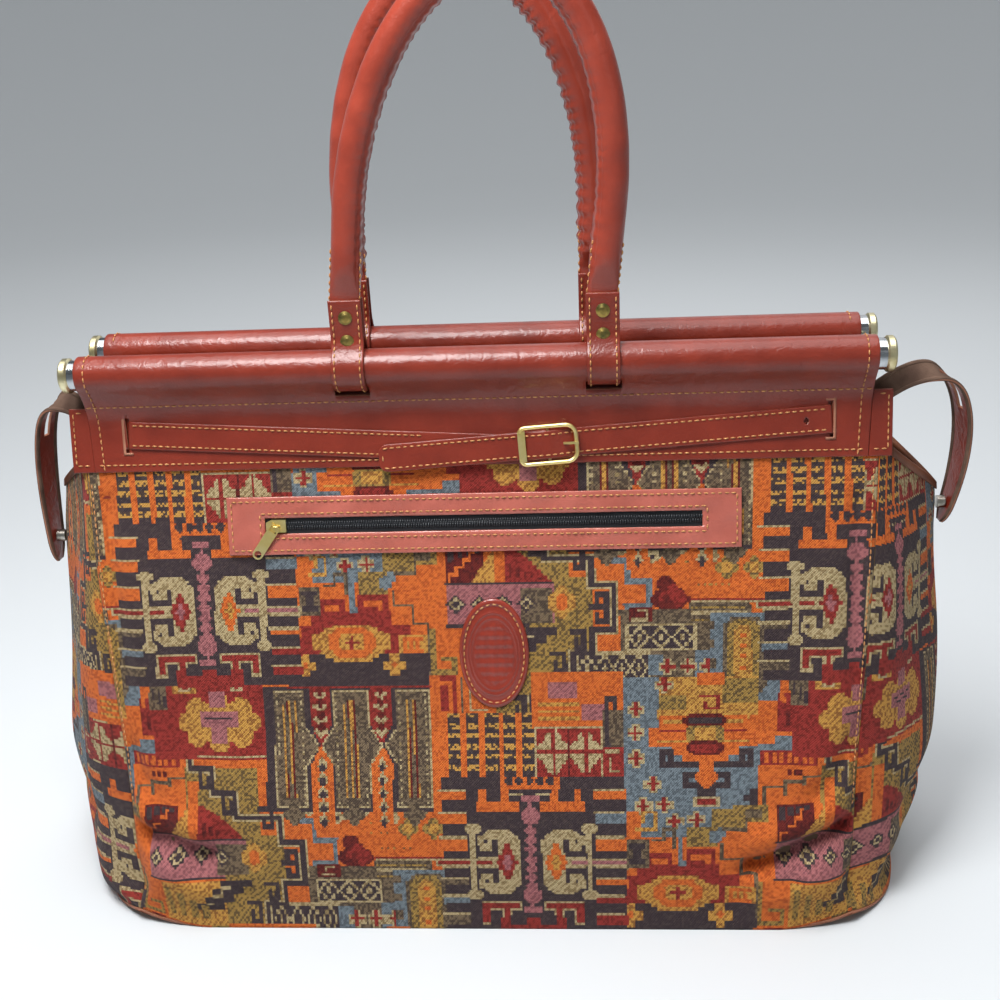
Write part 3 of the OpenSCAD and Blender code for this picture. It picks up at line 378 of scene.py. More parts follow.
# Patchwork right of the flame: red combs, beige with slashes, gold, stripes and steps
block(RED, -20, -22, 8, 6)
block(ORANGE, -18, -22, -16, -14, many=4, dx=6)
block(MAROON, -15, -8, -13, 2, many=4, dx=6)
block(BEIGE, -3, -16, 10, 8)
block(PLUM, -1, -13, 0.6, -3, many=3, dx=4, ds=4)
block(GOLD, 18, -16, 40, 8)
block(OLIVE, 24, -10, 36, 2)
block(SLATE, -22, 10, 2, 20)
block(RED, -32, 20, 6, 30)
block(ORANGE, -29, 21, -27, 28, many=7, dx=5)
block(ORANGE, -34, 30, 14, 62)
block(MAROON, -14, 33, -11.5, 37, many=3, dx=4)
for k in range(3):
    trail(BEIGE, 2.4, (-30 + 14 * k, 58 - 7 * k), (-30 + 14 * k, 46 - 4 * k), (-18 + 14 * k, 46 - 4 * k))
block(OLIVE, -52, 58, -28, 70)
block(BEIGE, -48, 61, -33, 67)
# Leaves over the mauve band: dark, orange and red, on olive
block(OLIVE, 10, 30, 64, 84)
block(MAROON, -22, 58, 4, 84)
for k in range(4):
    trail(ORANGE, 1.4, (-20 + 5 * k, 82 - 5 * k), (-20 + 5 * k, 77 - 5 * k), (-15 + 5 * k, 77 - 5 * k))
    block(PLUM, -20 + 6 * k, 60, -17 + 6 * k, 68 - 2 * k)
paint(GOLD, 3, 84, lambda a, d: (a >= -8) & (a <= 9) & (d <= 0) & (d >= -25) & (a - 9 >= (d + 25) * -0.7))
block(ORANGE, 12, 40, 19, 84)
paint(RED, 19, 84, lambda a, d: (a >= 0) & (a <= 33) & (d <= 0) & (d >= -26 * (1 - (np.clip(a, 0, 33) / 33) ** 1.5)))
for k in range(5):
    block(MAROON, 22 + 5 * k, 70 + 3 * k, 24 + 5 * k, 80)
block(MAUVE, -22, 84, 54, 114)
block(BEIGE, 30, 88, 52, 112)
trail(PLUM, 2, (-22, 84), (54, 84), many=2, ds=30)
for hue, reach in ((PLUM, 6.5), (CREAM, 4.4), (PLUM, 2.6)):
    rhomb(hue, -16, 98.5, reach, reach, 1, many=4, dx=16.5)
# Olive steps with dark square hooks down their edge
for box in ((53, 80, 80, 116), (36, 112, 80, 136), (34, 130, 66, 152), (22, 148, 52, 168), (10, 160, 37, 184)):
    block(OLIVE, *box)
rhomb(GOLD, 58, 98, 10, 11)
rhomb(ORANGE, 58, 98, 4, 5)
block(GOLD, -12, 116, 34, 150)
for k in range(4):
    block(PLUM, 32 - 6 * k, 116 + 6 * k, 54 - 7 * k, 122 + 6 * k)
    block(OLIVE, -10 + 9 * k, 120 + 5 * k, -6 + 9 * k, 146)
trail(CREAM, 1.4, (20, 134), (26, 134), (26, 128), (32, 128), (32, 122), (38, 122))
stair = ((14, 8), (14, 31), (30, 31), (30, 49), (47, 49), (47, 67), (64, 67), (79, 67), (79, 86), (94.5, 86),
         (94.5, 118), (79, 118), (79, 134.5), (65, 134.5), (65, 150.5), (51, 150.5), (51, 167), (36, 167), (36, 183),
         (22, 183), (22, 196))
trail(CREAM, 5, *stair)
trail(PLUM, 3.2, *stair)
for place in ((30, 31, -9, 14), (47, 49, -9, 14), (64, 60, 9, 14), (79, 102, 10, -9), (79, 102, 10, 10),
              (65, 119, 8, 12), (51, 135, 8, 12), (37, 151, 8, 13), (22, 167, 8, 13), (14, 9, 10, 14)):
    hook(PLUM, *place)
# Gold medallion on red steps, with its slate and beige hooks above and a plum foot
block(ORANGE, -128, 82, -24, 134)
block(RED, -136, 112, -48, 134)
block(RED, -120, 103, -62, 112)
hook(GOLD, -119, 76, 12, -13, 2.6)
hook(BEIGE, -58, 76, 14, -13, 2.6)
block(OLIVE, -67, 61, -45, 75)
block(OLIVE, -84, 75, -63, 90)
disc(SLATE, -65, 82, 5)
trail(SLATE, 3.4, (-89, 74), (-89, 102), (-82, 102))
trail(BEIGE, 2.6, (-108, 84), (-101, 84), (-101, 76), (-93, 76), (-93, 90))
trail(BEIGE, 2.6, (-60, 88), (-60, 99), (-46, 99), (-46, 112), (-36, 112), (-36, 150))
trail(RED, 3.8, (-111, 113), (-111, 96), (-97, 96), (-97, 105), (-104, 105))
trail(RED, 3.8, (-66, 110), (-66, 93), (-83, 93), (-83, 102), (-73, 102))
block(BEIGE, -127, 84, -112, 105)
block(PLUM, -125, 87, -114, 91, many=2, ds=11)
block(PLUM, -122, 90, -117, 99)
block(GOLD, -57, 120, -37, 136)
block(ORANGE, -54, 122.5, -40, 133.5)
block(GOLD, -52, 125, -50, 131, many=3, dx=5)
trail(OLIVE, 3, (-33, 118), (-33, 147), (-18, 147), (-18, 138), (-26, 138))
block(PLUM, -138, 133, -36, 158)
for k in range(4):
    block(GOLD, -119 + 4.6 * k, 119 - 2.4 * k, -63 - 4.6 * k, 131 + 2.6 * k)
cut_block(ORANGE, -91, 125, 17, 11, 9)
cut_block(GOLD, -91, 125, 9, 6, 5)
cross(RED, -91, 125, 4, 2)
cross(GOLD, -125, 142, 5, 6, many=2, dx=64)
cross(ORANGE, -125, 142, 1, 2, many=2, dx=64)
# Red squares under it on the right
block(ORANGE, -36, 150, 2, 184)
for hue, grow in ((RED, 17), (ORANGE, 13), (RED, 10), (ORANGE, 5)):
    block(hue, -34, 167 - grow, -34 + grow, 167 + grow)
trail(BEIGE, 2.4, (-14, 152), (-14, 182), (2, 182))
trail(CREAM, 1.6, (-8, 156), (-8, 176), (4, 176))
# Dark columns with speckled cores, and pinched gaps with chevrons and drops between them
block(PLUM, -157, 157, -36, 249)
block(ORANGE, -37, 150, -30, 252)
for x in (-116, -72.5):
    paint(RED, x, 200, lambda a, d: (d > -43) & (d < 2) & (abs(a) < 7.5 - np.clip((d + 15) / 15, 0, 1) * 6.3))
    paint(ORANGE, x, 200, lambda a, d: (d >= 2) & (d < 62) & (abs(a) < 1.3 + np.clip((d - 2) / 12, 0, 1) * 6.5))
    rhomb(CREAM, x, 163, 4.6, 5, 1, many=4, ds=9)
    rhomb(MAROON, x, 160.5, 3, 4, 1, many=4, ds=9)
    for s in range(215, 256, 10):
        rhomb(CREAM, x, s, 3.6, 5.5, 1)
        rhomb(PLUM, x, s + 1.5, 2.6, 4, 1)
for x, w, sides in ((-138.5, 10.5, (1,)), (-94, 12, (-1, 1)), (-49.5, 11, (-1,))):
    for hue, grow in ((CREAM, 1.4), (BEIGE, 0)):
        block(hue, x - w - grow, 161 - grow, x + w + grow, 245 + grow)
        for side in sides:
            rhomb(hue, x + side * w, 201, 8.5 + grow, 13 + grow, 1)
    for edge in (x - w + 1.6, x + w - 1.6):
        block(CREAM, edge - 0.8, 163, edge + 0.8, 165, many=16, ds=5.2)
    for k in range(5):
        block((GOLD, MAROON)[k % 2], x - 5 + 2.2 * k, 168, x - 3.8 + 2.2 * k, 238)
rhomb(BEIGE, -138, 251, 8, 7, many=3, dx=44)
trail(RED, 1.4, (-138, 158), (-36, 158))
# Red field with a gold lobed flower
block(RED, -238, 156, -157, 210)
for turn in np.arange(8) * np.pi / 4:
    disc(GOLD, -190 + 23 * np.cos(turn), 183 + 15 * np.sin(turn), 7.5)
cut_block(GOLD, -190, 183, 24, 14, 6)
cut_block(MAUVE, -190, 181, 14, 5.5, 3)
block(MAUVE, -196, 160, -185, 172, many=2, ds=26)
block(PLUM, -201, 178.5, -180, 180.1, many=2, ds=4)
block(GOLD, -223, 146, -205, 161)
block(OLIVE, -219, 149, -209, 158)
block(BEIGE, -240, 154, -227, 174)
block(PLUM, -238, 157, -236.4, 166, many=3, dx=4, ds=3)
trail(CREAM, 1.4, (-206, 208), (-158, 208))
# Comb: a dark block with teeth, two cream hooked medallions and a mauve spindle
axis, top, mid = -195, 38, 101
block(PLUM, axis - 46, top, axis + 46, top + 118)
for low, high, left, right in ((9, 16, ORANGE, ORANGE), (25, 34, ORANGE, SLATE), (44, 55, ORANGE, ORANGE),
                               (63, 69, CREAM, CREAM), (76, 84, BEIGE, ORANGE), (90, 97, SLATE, RED),
                               (104, 110, BEIGE, RED)):
    block(PLUM, axis - 63, top + low - 9, axis - 44, top + high + 7)
    block(PLUM, axis + 44, top + low - 9, axis + 67, top + high + 7)
    block(left, axis - 64, top + low, axis - 46, top + high)
    block(right, axis + 46, top + low, axis + 68, top + high)
    pair(CREAM, 1.2, axis, top, (46, low), (66, low))
block(ORANGE, axis - 21, top - 4, axis + 21, top + 8)
pair(ORANGE, 6.5, axis, top, (17.5, -2), (17.5, 20))
pair(ORANGE, 5, axis, top, (10, 21), (36, 21))
pair(ORANGE, 5, axis, top, (34, 21), (34, 12))
pair(PLUM, 2.2, axis, top, (4, 10), (14, 10))
pair(CREAM, 1.2, axis, top, (5, 12.5), (14, 12.5))
rhomb(PLUM, axis - 14.8, top + 2.5, 3.4, 3.6, 1, many=5, dx=7.4)
for side in (-1, 1):
    hub = axis + side * 23
    cut_block(CREAM, hub, mid, 15.5, 25, 9)
    for flip in (-1, 1):
        block(PLUM, hub + side * 0.5, mid + flip * 5, hub + side * 17, mid + flip * 17)
        trail(CREAM, 4, *((hub + side * x, mid + flip * s) for x, s in ((6.5, 16), (6.5, 11.5), (11, 11.5))))
        trail(CREAM, 4, (hub + side * 13, mid + flip * 19), (hub + side * 13, mid + flip * 15))
pair(CREAM, 5, axis, mid, (24, 0), (66, 0))
for side, line, heart, seed in ((-1, RED, RED, MAUVE), (1, MAUVE, ORANGE, GOLD)):
    edge, core = axis + side * 41.5, axis + side * 17.5
    trail(line, 2, (axis + side * 30, mid), (axis + side * 66, mid))
    trail(CREAM, 4, (edge, top + 36), (edge, top + 90))
    rhomb(CREAM, edge, top + 37, 5, 4, many=2, ds=52)
    rhomb(heart, core, mid, 7, 13)
    rhomb(seed, core, mid, 3, 6)
for hue, thick in ((CREAM, 7), (RED, 4.6)):
    pair(hue, thick, axis, top, (12, 98), (34, 98), (34, 107))
    pair(hue, thick, axis, top, (19, 98), (19, 118))
trail(MAUVE, 2.6, (axis, top + 14), (axis, top + 102))
rhomb(MAUVE, axis, top + 39, 4.4, 4, 1, many=7, ds=7.2)
disc(MAUVE, axis, top + 28, 6.8)
disc(MAUVE, axis, top + 89, 6.6)
trail(MAUVE, 3, (axis - 4.5, top + 15), (axis + 4.5, top + 15), many=2, ds=86)
block(RED, axis - 24, top + 106, axis + 24, top + 119)
block(PLUM, axis - 16, top + 104, axis - 5, top + 110, many=2, dx=21)
# Checks: dark dashes and speckled rows between orange bars
block(ORANGE, -257, -8, -186, 38)
for s in np.arange(-8, 37, 7.5):
    block(SPECK, -252.5, s, -243.5, s + 4, many=5, dx=13.3)
    block(PLUM, -252.5, s + 3.5, -243.5, s + 7.5, many=5, dx=13.3)
# Red square with cut cream rhombs, a hooked beige field beside it and stripes above
block(ORANGE, -192, -38, -128, 3)
block(MAUVE, -180, -30, -160, -18)
block(MAUVE, -156, -14, -142, -3)
trail(GOLD, 2.6, (-186, -14), (-160, -14), many=3, ds=5)
block(CREAM, -191, 2, -142, 38)
block(RED, -189.5, 3.5, -143.5, 36.5)
for x in (-177.5, -155):
    rhomb(CREAM, x, 20, 11.5, 16)
    trail(RED, 2.4, (x, 4), (x, 36))
    trail(RED, 2.4, (x - 11, 20), (x + 11, 20))
trail(MAROON, 2, (-166.2, 4), (-166.2, 36))
block(BEIGE, -142, -10, -128, 17)
trail(PLUM, 3, (-139.5, 15), (-139.5, -18), (-133.5, -18), (-133.5, -11))
block(RED, -142, 17, -128, 38)
trail(CREAM, 1.6, (-140, 20), (-131, 20), (-131, 34), (-138, 34), (-138, 26))

# Yarns of each hue: the ground thread, the fleck that shows through, its share, and whether it lies in a twill
yarns = [("#c8652c", "#a94f24", 0.3, False), ("#8c302a", "#6f2520", 0.33, False), ("#3b3033", "#463a3a", 0.3, False),
         ("#ab9872", "#85714f", 0.36, True), ("#97783f", "#5f4c30", 0.4, True), ("#bb8a42", "#8a5c2e", 0.38, True),
         ("#6d777e", "#565e64", 0.42, False), ("#9f6364", "#7f4d50", 0.38, True), ("#642420", "#4c1d1c", 0.33, False),
         ("#6f5e4a", "#4c3f34", 0.48, False), ("#b98a45", "#4a3a33", 0.4, False)]
ground, fleck = (np.array([linear(yarn[k]) for yarn in yarns]) for k in (0, 1))
fleck_shares, in_twill = (np.array([yarn[k] for yarn in yarns]) for k in (2, 3))
draws = np.random.default_rng(7)
belly_out, belly_height, seam_gap = 7 * MM, 146 * MM, 0.15 * MM


def woven_colour(x, s):
    """Yarn colour at cloth places in millimetres: the repeat's hue there, with flecks strewn or in twill lines."""
    hue = dye[np.floor(s).astype(int) % repeat_down, np.floor(x).astype(int) % repeat_across]
    line = np.where(np.floor((x + s) / 1.5) % 3 == 0, 1.9, 0.5)
    mixed = draws.random(hue.shape) < fleck_shares[hue] * np.where(in_twill[hue], line, 1)
    return np.where(mixed[..., None], fleck[hue], ground[hue])


def waves(tree, place, *pulls):
    """Sine waves over a place, one for each pull, which gives the turns in a millimetre along each axis."""
    made = []
    for pull in pulls:
        turn = tuple(2 * np.pi * part / MM for part in pull)
        phase = put(tree, "VectorMath", {0: place, 1: turn}, "Value", operation="DOT_PRODUCT")
        made.append(put(tree, "Math", {0: phase}, operation="SINE"))
    return made


def tapestry():
    """Jacquard tapestry in cotton: matt, with a twill line 1.9 mm apart and weft ribs 1.6 mm apart, both drawn
    coarser than the real threads so that they show, and a slight fuzz. Colour comes from the yarn attribute,
    with painted shade in the grooves of the twill and ribs and a painted highlight on their ridges."""
    finish, tree, shader = fresh_finish("jacquard_tapestry", Roughness=0.85, Specular_IOR_Level=0.15,
                                        Sheen_Weight=0.06)
    yarn = put(tree, "Attribute", {}, attribute_name="yarn")
    place = put(tree, "UVMap", {}, uv_map="cloth")
    twill, down, across = waves(tree, place, (1 / 1.9, 1 / 1.9, 0), (0, 1 / 1.6, 0), (1 / 1.6, 0, 0))
    rib = put(tree, "Math", {0: down, 1: across}, operation="MULTIPLY")
    relief = put(tree, "Math", {0: twill, 1: rib}, operation="ADD")
    fuzz = put(tree, "TexNoise", {"Vector": place, "Scale": 1 / (1.9 * MM), "Detail": 3})
    # Painted shade and highlight: the yarn colour is darkened in the weave's grooves and lightened on its ridges.
    weave_painted_shade = put(tree, "MapRange", {"Value": relief, "From Min": -2, "From Max": 2, "To Min": 0.62, "To Max": 1.3})
    tone = put(tree, "MapRange", {"Value": fuzz, "From Min": 0.25, "From Max": 0.75, "To Min": 0.8, "To Max": 1.2})
    both = put(tree, "Math", {0: weave_painted_shade, 1: tone}, operation="MULTIPLY")
    lit = put(tree, "Mix", {0: 1.0, 6: yarn, 7: both}, 2, data_type="RGBA", blend_type="MULTIPLY")
    bump = put(tree, "Bump", {"Height": relief, "Strength": 0.45, "Distance": 0.35 * MM})
    feed(tree, shader, {"Base Color": lit, "Normal": bump})
    return finish


def plain_cloth(name, hex_colour, shade, thread):
    """Plain-woven cloth: warp and weft threads `thread` mm apart in one dull colour, with painted shade in the
    weave's dips.
    """
    finish, tree, shader = fresh_finish(name, Roughness=0.9)
    place = put(tree, "TexCoord", {}, "Object")
    weft, warp = waves(tree, place, (1 / thread, 0, 0), (0, 0.6 / thread, 1 / thread))
    weave = put(tree, "Math", {0: weft, 1: warp}, operation="MULTIPLY")
    bump = put(tree, "Bump", {"Height": weave, "Strength": 0.4, "Distance": 0.2 * MM})
    # Painted shade: the colour goes towards `shade` in the dips of the weave and is lightest on its crowns.
    feed(tree, shader, {"Base Color": two_tone(tree, weave, -1, 1, shade, hex_colour), "Normal": bump})
    return finish


cloth_finish = tapestry()
lining_finish = plain_cloth("lining_cotton", "#6a5442", "#4a3a2e", 1.4)


def tapestry_sheet(name, face, across, down):
    """Closed sheet of cloth: the face grid at thread size, a back grid `skip` cells coarser set one cloth
    thickness or more behind the deepest dent near it, and a rim between them. across and down give each point's
    place on the cloth in mm."""
    skip = 5
    rows, cols = across.shape
    normal = outward(face)
    wide = np.pad(face, ((skip, skip), (skip, skip), (0, 0)), mode="edge")
    dent = np.zeros((rows, cols))
    for down_by, across_by in np.ndindex(2 * skip + 1, 2 * skip + 1):
        beside = wide[down_by:down_by + rows, across_by:across_by + cols]
        dent = np.minimum(dent, np.sum((beside - face) * normal, 2))
    back = (face - (cloth_thick - 1.8 * dent)[..., None] * normal)[::skip, ::skip]
    few_rows, few_cols = back.shape[:2]
    shift = rows * cols
    at = np.arange(shift).reshape(rows, cols)
    far = shift + np.arange(few_rows * few_cols).reshape(few_rows, few_cols)
    rims = []
    for fine, coarse in ((at[0], far[0]), (at[-1, ::-1], far[-1, ::-1]),
                         (at[::-1, 0], far[::-1, 0]), (at[:, -1], far[:, -1])):
        starts = np.arange(len(coarse) - 1)[:, None] * skip
        rims.append(np.c_[fine[starts + np.arange(skip, -1, -1)], coarse[:-1], coarse[1:]])
    front, behind = cells(rows, cols), cells(few_rows, few_cols, shift)[:, ::-1]
    points = np.concatenate([face.reshape(-1, 3), back.reshape(-1, 3)])
    obj = skin(name, points, [front, behind, np.concatenate(rims)])
    fitted(obj, "bag", "tapestry", cloth_finish, lining_finish)
    kinds = np.repeat([0, 1, 0], [len(front), len(behind), sum(map(len, rims))]).astype(np.int32)
    obj.data.polygons.foreach_set("material_index", kinds)
    corner = np.zeros(len(obj.data.loops), dtype=np.int32)
    obj.data.loops.foreach_get("vertex_index", corner)
    places = np.stack([across, down], -1) * MM
    sheet_uv = np.concatenate([places.reshape(-1, 2), places[::skip, ::skip].reshape(-1, 2)])[corner]
    obj.data.uv_layers.new(name="cloth").data.foreach_set("uv", sheet_uv.astype(np.float32).ravel())
    middle = sheet_uv[:4 * len(front)].reshape(-1, 4, 2).mean(1) / MM
    yarn = np.tile(ground[OLIVE], (len(corner), 1))
    yarn[:4 * len(front)] = np.repeat(woven_colour(middle[:, 0], middle[:, 1]), 4, 0)
    layer = obj.data.color_attributes.new("yarn", "FLOAT_COLOR", "CORNER")
    layer.data.foreach_set("color", yarn.astype(np.float32).ravel())
    return obj


def fold(x, s, start, end, width, height):
    """Ridge (or dent) along a line on the cloth: height times a bell of the distance from the line."""
    a, b = np.array(start), np.array(end)
    t = np.clip(((x - a[0]) * (b[0] - a[0]) + (s - a[1]) * (b[1] - a[1])) / np.sum((b - a) ** 2), 0, 1)
    gone = (x - a[0] - t * (b[0] - a[0])) ** 2 + (s - a[1] - t * (b[1] - a[1])) ** 2
    return height * np.exp(-gone / width ** 2)


def panel_folds(x, s):
    """How far the panel's cloth stands out, all in mm: drag folds at the two lower corners (each from start to end,
    with its width and height), soft waves between the sewn edges, and nothing where the zip and the badge hold it."""
    out = 1.3 * np.sin(x / 31 + s / 55) * np.sin(s / 47) + 0.8 * np.sin(x / 17 - s / 29)
    for line in (
            ((-275, 262), (-205, 283), 8, -11), ((-272, 244), (-210, 262), 12, 6), ((-262, 316), (-215, 318), 24, 8),
            ((-262, 205), (-232, 262), 9, -5), ((-216, 296), (-168, 322), 9, -6), ((-236, 292), (-190, 310), 11, 5),
            ((188, 292), (272, 258), 7, -12), ((196, 270), (270, 236), 12, 6), ((215, 318), (262, 312), 24, 9),
            ((264, 196), (232, 246), 9, -5), ((168, 322), (214, 302), 9, -6), ((190, 312), (236, 296), 11, 4),
            ((150, 305), (190, 292), 9, -3), ((-262, 20), (-258, 150), 7, -3), ((262, 30), (262, 170), 7, -3),
            ((-250, 60), (-235, 210), 16, 2.5), ((248, 70), (236, 220), 16, 2.5), ((-120, 330), (120, 333), 14, 3)):
        out = out + fold(x, s, *line)
    off_zip = (abs(x - 4) - 185) / 30 + ease((s - 66) / 30)
    off_badge = ((x - 10) ** 2 / 38 ** 2 + (s - 134) ** 2 / 54 ** 2 - 0.7) / 0.9
    return out * ease(off_zip) * ease(off_badge) * ease(s / 26) * ease((338 - s) / 40)


def rounded(z, gone):
    """Shift of the cloth near a side seam, back along its face and into it: half of a quarter circle, so that panel
    and gusset round into each other. The radius is widest low down, and nothing at the base."""
    radius = 27 * MM * ease(z / (30 * MM)) * (1 - 0.85 * ease((z - 70 * MM) / (220 * MM))) + 1e-6
    turn = np.clip(1 - gone / radius, 0, 1) * np.pi / 4
    return radius * (turn * 4 / np.pi - np.sin(turn)), radius * (1 - np.cos(turn))


def panel(cols, rows, shift):
    """Front panel: across by p from side to side, up by v from base to band: the plane that leans back by `lean`,
    with a belly of one sine arch low down, its drag folds, and a hem that sags between the base's corners. Gives
    the points and the places on the cloth."""
    p, v = np.meshgrid(np.linspace(-1, 1, cols), np.linspace(0, 1, rows))
    z = blend(cloth_foot, cloth_head, v)
    belly = np.where(z < belly_height, belly_out * np.sin(np.pi * z / belly_height), 0) * (1 - p ** 4)
    x = p * (half_length(z) - seam_gap)
    down = (edge_height - z) / np.cos(lean) / MM
    gone = half_length(z) - seam_gap - abs(x)
    along, into = rounded(z, gone)
    hem = (1 - ease(v / 0.04)) * (1 - ease((abs(x) - 205 * MM) / (45 * MM))) * 3.2 * MM
    out = belly + panel_folds(x / MM, down) * ease(gone / (16 * MM)) * MM - into + hem / 2
    points = settle(np.stack([x - np.sign(p) * along, -half_depth(z) - out * np.cos(lean),
                              z + out * np.sin(lean) - hem], -1))
    return points, x / MM + shift, down


front_face, across, down = panel(371, 236, 0)
front_cloth = tapestry_sheet("front_cloth", front_face, across, down)
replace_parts(front_cloth, "front_panel")
face, across, down = panel(276, 176, 61)
rear_cloth = tapestry_sheet("rear_cloth", face[:, ::-1] * (1, -1, 1), across[:, ::-1], down)
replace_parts(rear_cloth, "rear_panel")

# Gussets: the two cloth ends, boxy at the base and folded outwards to a crease higher up.
# Each is one piece of the same cloth, bound at its V-shaped mouth edge with a folded leather strip.
binding_leather = leather("bound_edge_leather", "#7a4a33", "#54301f", 0.55)
bound_half, bound_deep, bound_thick = 2.4 * MM, 5 * MM, 1 * MM


def gusset(crease, ripple, slump):
    """Gusset points with soft upright folds, strongest half way from crease to seam and none at the sewn edges, and
    a slump near the base. Gives the points and the places on the cloth."""
    q, v = np.meshgrid(np.linspace(-1, 1, 166), np.linspace(0, 1, 211))
    points = side_places(q, v, crease)
    z = points[..., 2]
    wave = 3.2 * np.sin(5.5 * q + ripple + 2.2 * np.sin(4 * v + ripple)) * np.sin(np.pi * v) ** 0.7
    for line in (((-70, 60), (-20, 95), 14, -5), ((-95, 40), (-30, 60), 16, 4)):
        wave = wave + fold(130 * q, 340 * v, *line)
    held = (1 - q ** 6) * ease(v / 0.1) * ease((1 - v) / 0.12)
    sag = slump * np.exp(-((z - 16 * MM) / (24 * MM)) ** 2) * (1 - q ** 4) * ease(v / 0.03)
    along, into = rounded(z, (1 - abs(q)) * half_depth(z))
    points = points + outward(points) * (wave * held * MM + sag)[..., None]
    points = settle(points - np.stack([into, np.sign(q) * along * np.cos(lean), along * np.sin(lean)], -1))
    return points, 132 * q, (edge_height - points[..., 2]) / np.cos(lean) / MM


def loft(name, rings, finish, body, slot):
    """Closed tube through rings of points (rings x points x 3), with a flat cap at each end."""
    count, around = rings.shape[:2]
    at = np.arange(count * around).reshape(count, around)
    on = np.roll(at, -1, 1)
    walls = np.stack([at[:-1], on[:-1], on[1:], at[1:]], -1).reshape(-1, 4)
    obj = skin(name, rings.reshape(-1, 3), [walls, np.stack([at[0, ::-1], at[-1]])])
    return fitted(obj, body, slot, finish)


for side, name, crease, shift, ripple, slump in ((1, "right", right_crease, -96, 0.4, -5 * MM),
                                                 (-1, "left", left_crease, 186, 2.1, 9 * MM)):
    turn = slice(None, None, side)
    face, across, down = gusset(crease, ripple, slump)
    cloth = tapestry_sheet(name + "_side_cloth", (face * (side, 1, 1))[:, turn], (across + shift)[:, turn], down)
    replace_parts(cloth, name + "_gusset")
    wide = 2 * np.hypot(base_depth / 2, crease_base)
    tall = ((crease[1] + cloth_head) / 2 - cloth_foot) / np.cos(lean)
    q = np.linspace(-0.84, 0.84, 61)
    edge = side_places(q, np.ones_like(q), crease)
    below = unit(side_places(q, np.full_like(q, 0.98), crease) - edge)[:, None]
    away = unit(np.cross(np.gradient(edge, axis=0)[:, None], -below))
    turn_in = np.linspace(0, np.pi, 9)
    inner = bound_half - bound_thick
    rim = np.r_[[[bound_half, bound_deep]], np.c_[np.cos(turn_in), -np.sin(turn_in)] * bound_half,
                [[-bound_half, bound_deep], [-inner, bound_deep], [-inner, 0], [inner, 0], [inner, bound_deep]]]
    rings = edge[:, None] + away * (rim[None, :, :1] - cloth_thick / 2) + below * rim[None, :, 1:]
    bound = loft(name + "_mouth_binding", (rings * (side, 1, 1))[::side], binding_leather, "bag", "leather")
    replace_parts(bound, name + "_gusset_binding")

# Bands and facings: red-brown leather over the cloth's top edge on both sides. Each band runs up from its flap,
# round the rod as a sleeve and down to the seam, where it is sewn through to the facing inside.
red_leather = leather("red_brown_calf", "#812e1e", "#6e2315", 0.36, crease=7, shine=0.5)
rod_low, rod_high = (np.array(corner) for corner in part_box("front_rod"))
rod_y, rod_z = (rod_low + rod_high)[1:] / 2
rod_out = (rod_z * np.tan(lean) - rod_y - base_depth / 2) * np.cos(lean)
rod_up = (rod_y + base_depth / 2) * np.sin(lean) + rod_z * np.cos(lean)
band_thick, flap_tall, sleeve_radius, sew_in = 2.1 * MM, 45 * MM, 13 * MM, 5 * MM
flap_bottom, sleeve_half, cheek_half, cheek_out = 266 * MM, 268.5 * MM, 282 * MM, 1.5 * MM
flap_top, flap_face = edge_up + flap_tall, band_thick + 0.1 * MM
slit_x, slit_up, slit_half, slit_reach = 241 * MM, edge_up + 26 * MM, 1.5 * MM, 12 * MM
front_loops, rear_loops = np.array([-80, 90]) * MM, np.array([-85, 85]) * MM
notch_half, notch_reach, pucker_tall = 12 * MM, 19 * MM, 7 * MM
facing_half, facing_lap, facing_step, cheek_wide = 271 * MM, 19 * MM, 9.5 * MM, 14 * MM
front_normal = np.array([0, -np.cos(lean), np.sin(lean)])
stitch_pitch, stitch_long, stitch_thick = 4.6 * MM, 3.5 * MM, 1.1 * MM


def on_front(x, up, out):
    """Places on the leaning front: along it, up it, and out of it."""
    x, up, out = np.broadcast_arrays(x, up, out)
    return np.stack([x, up * np.sin(lean) - out * np.cos(lean) - base_depth / 2,
                     up * np.cos(lean) + out * np.sin(lean)], -1)


def worn_lip(gone):
    """Share of the full thickness at a distance from the cut edge: a quarter round within the lip."""
    return 0.35 + 0.65 * np.sqrt(1 - (1 - np.clip(gone / lip, 0, 1)) ** 2)


def run_along(line):
    """Distance along a line of points, from its start to each of them."""
    return np.r_[0, np.cumsum(np.linalg.norm(np.diff(line, axis=0), axis=1))]


def tangent(point, radius, side):
    """Angle at which the line from a point touches a circle about the origin."""
    return np.arctan2(point[1], point[0]) + side * np.arccos(radius / np.hypot(*point))


def smoothed(path, first, last, times):
    """Path with each point from first to last drawn towards its neighbours, some times over."""
    for _ in range(times):
        path[first:last] = (path[first - 1:last - 1] + 2 * path[first:last] + path[first + 1:last + 1 or None]) / 4
    return path


def band_path():
    """Band's section as (out, up): up the flap, off to the sleeve, round the rod and back to the seam."""
    centre, radius, face = np.array([rod_out, rod_up]), sleeve_radius - band_thick / 2, band_thick / 2 + 0.1 * MM
    foot = lines(edge_up, edge_up + 2 * flap_tall, 3 * MM)
    foot = foot[foot < flap_top - 2 * MM]
    start, end = np.array([face, flap_top]), np.array([-3 * MM, flap_top])
    turn = np.linspace(tangent(start - centre, radius, 1) - 2 * np.pi, tangent(end - centre, radius, -1), 64)
    arc = centre + radius * np.c_[np.cos(turn), np.sin(turn)]
    web = np.linspace(0, 1, 6)[1:-1, None]
    flap = np.c_[np.full(len(foot), face), foot]
    path = np.r_[flap, blend(start, arc[0], web), arc, blend(arc[-1], end, web), [end]]
    return smoothed(path, 8, -1, 3)


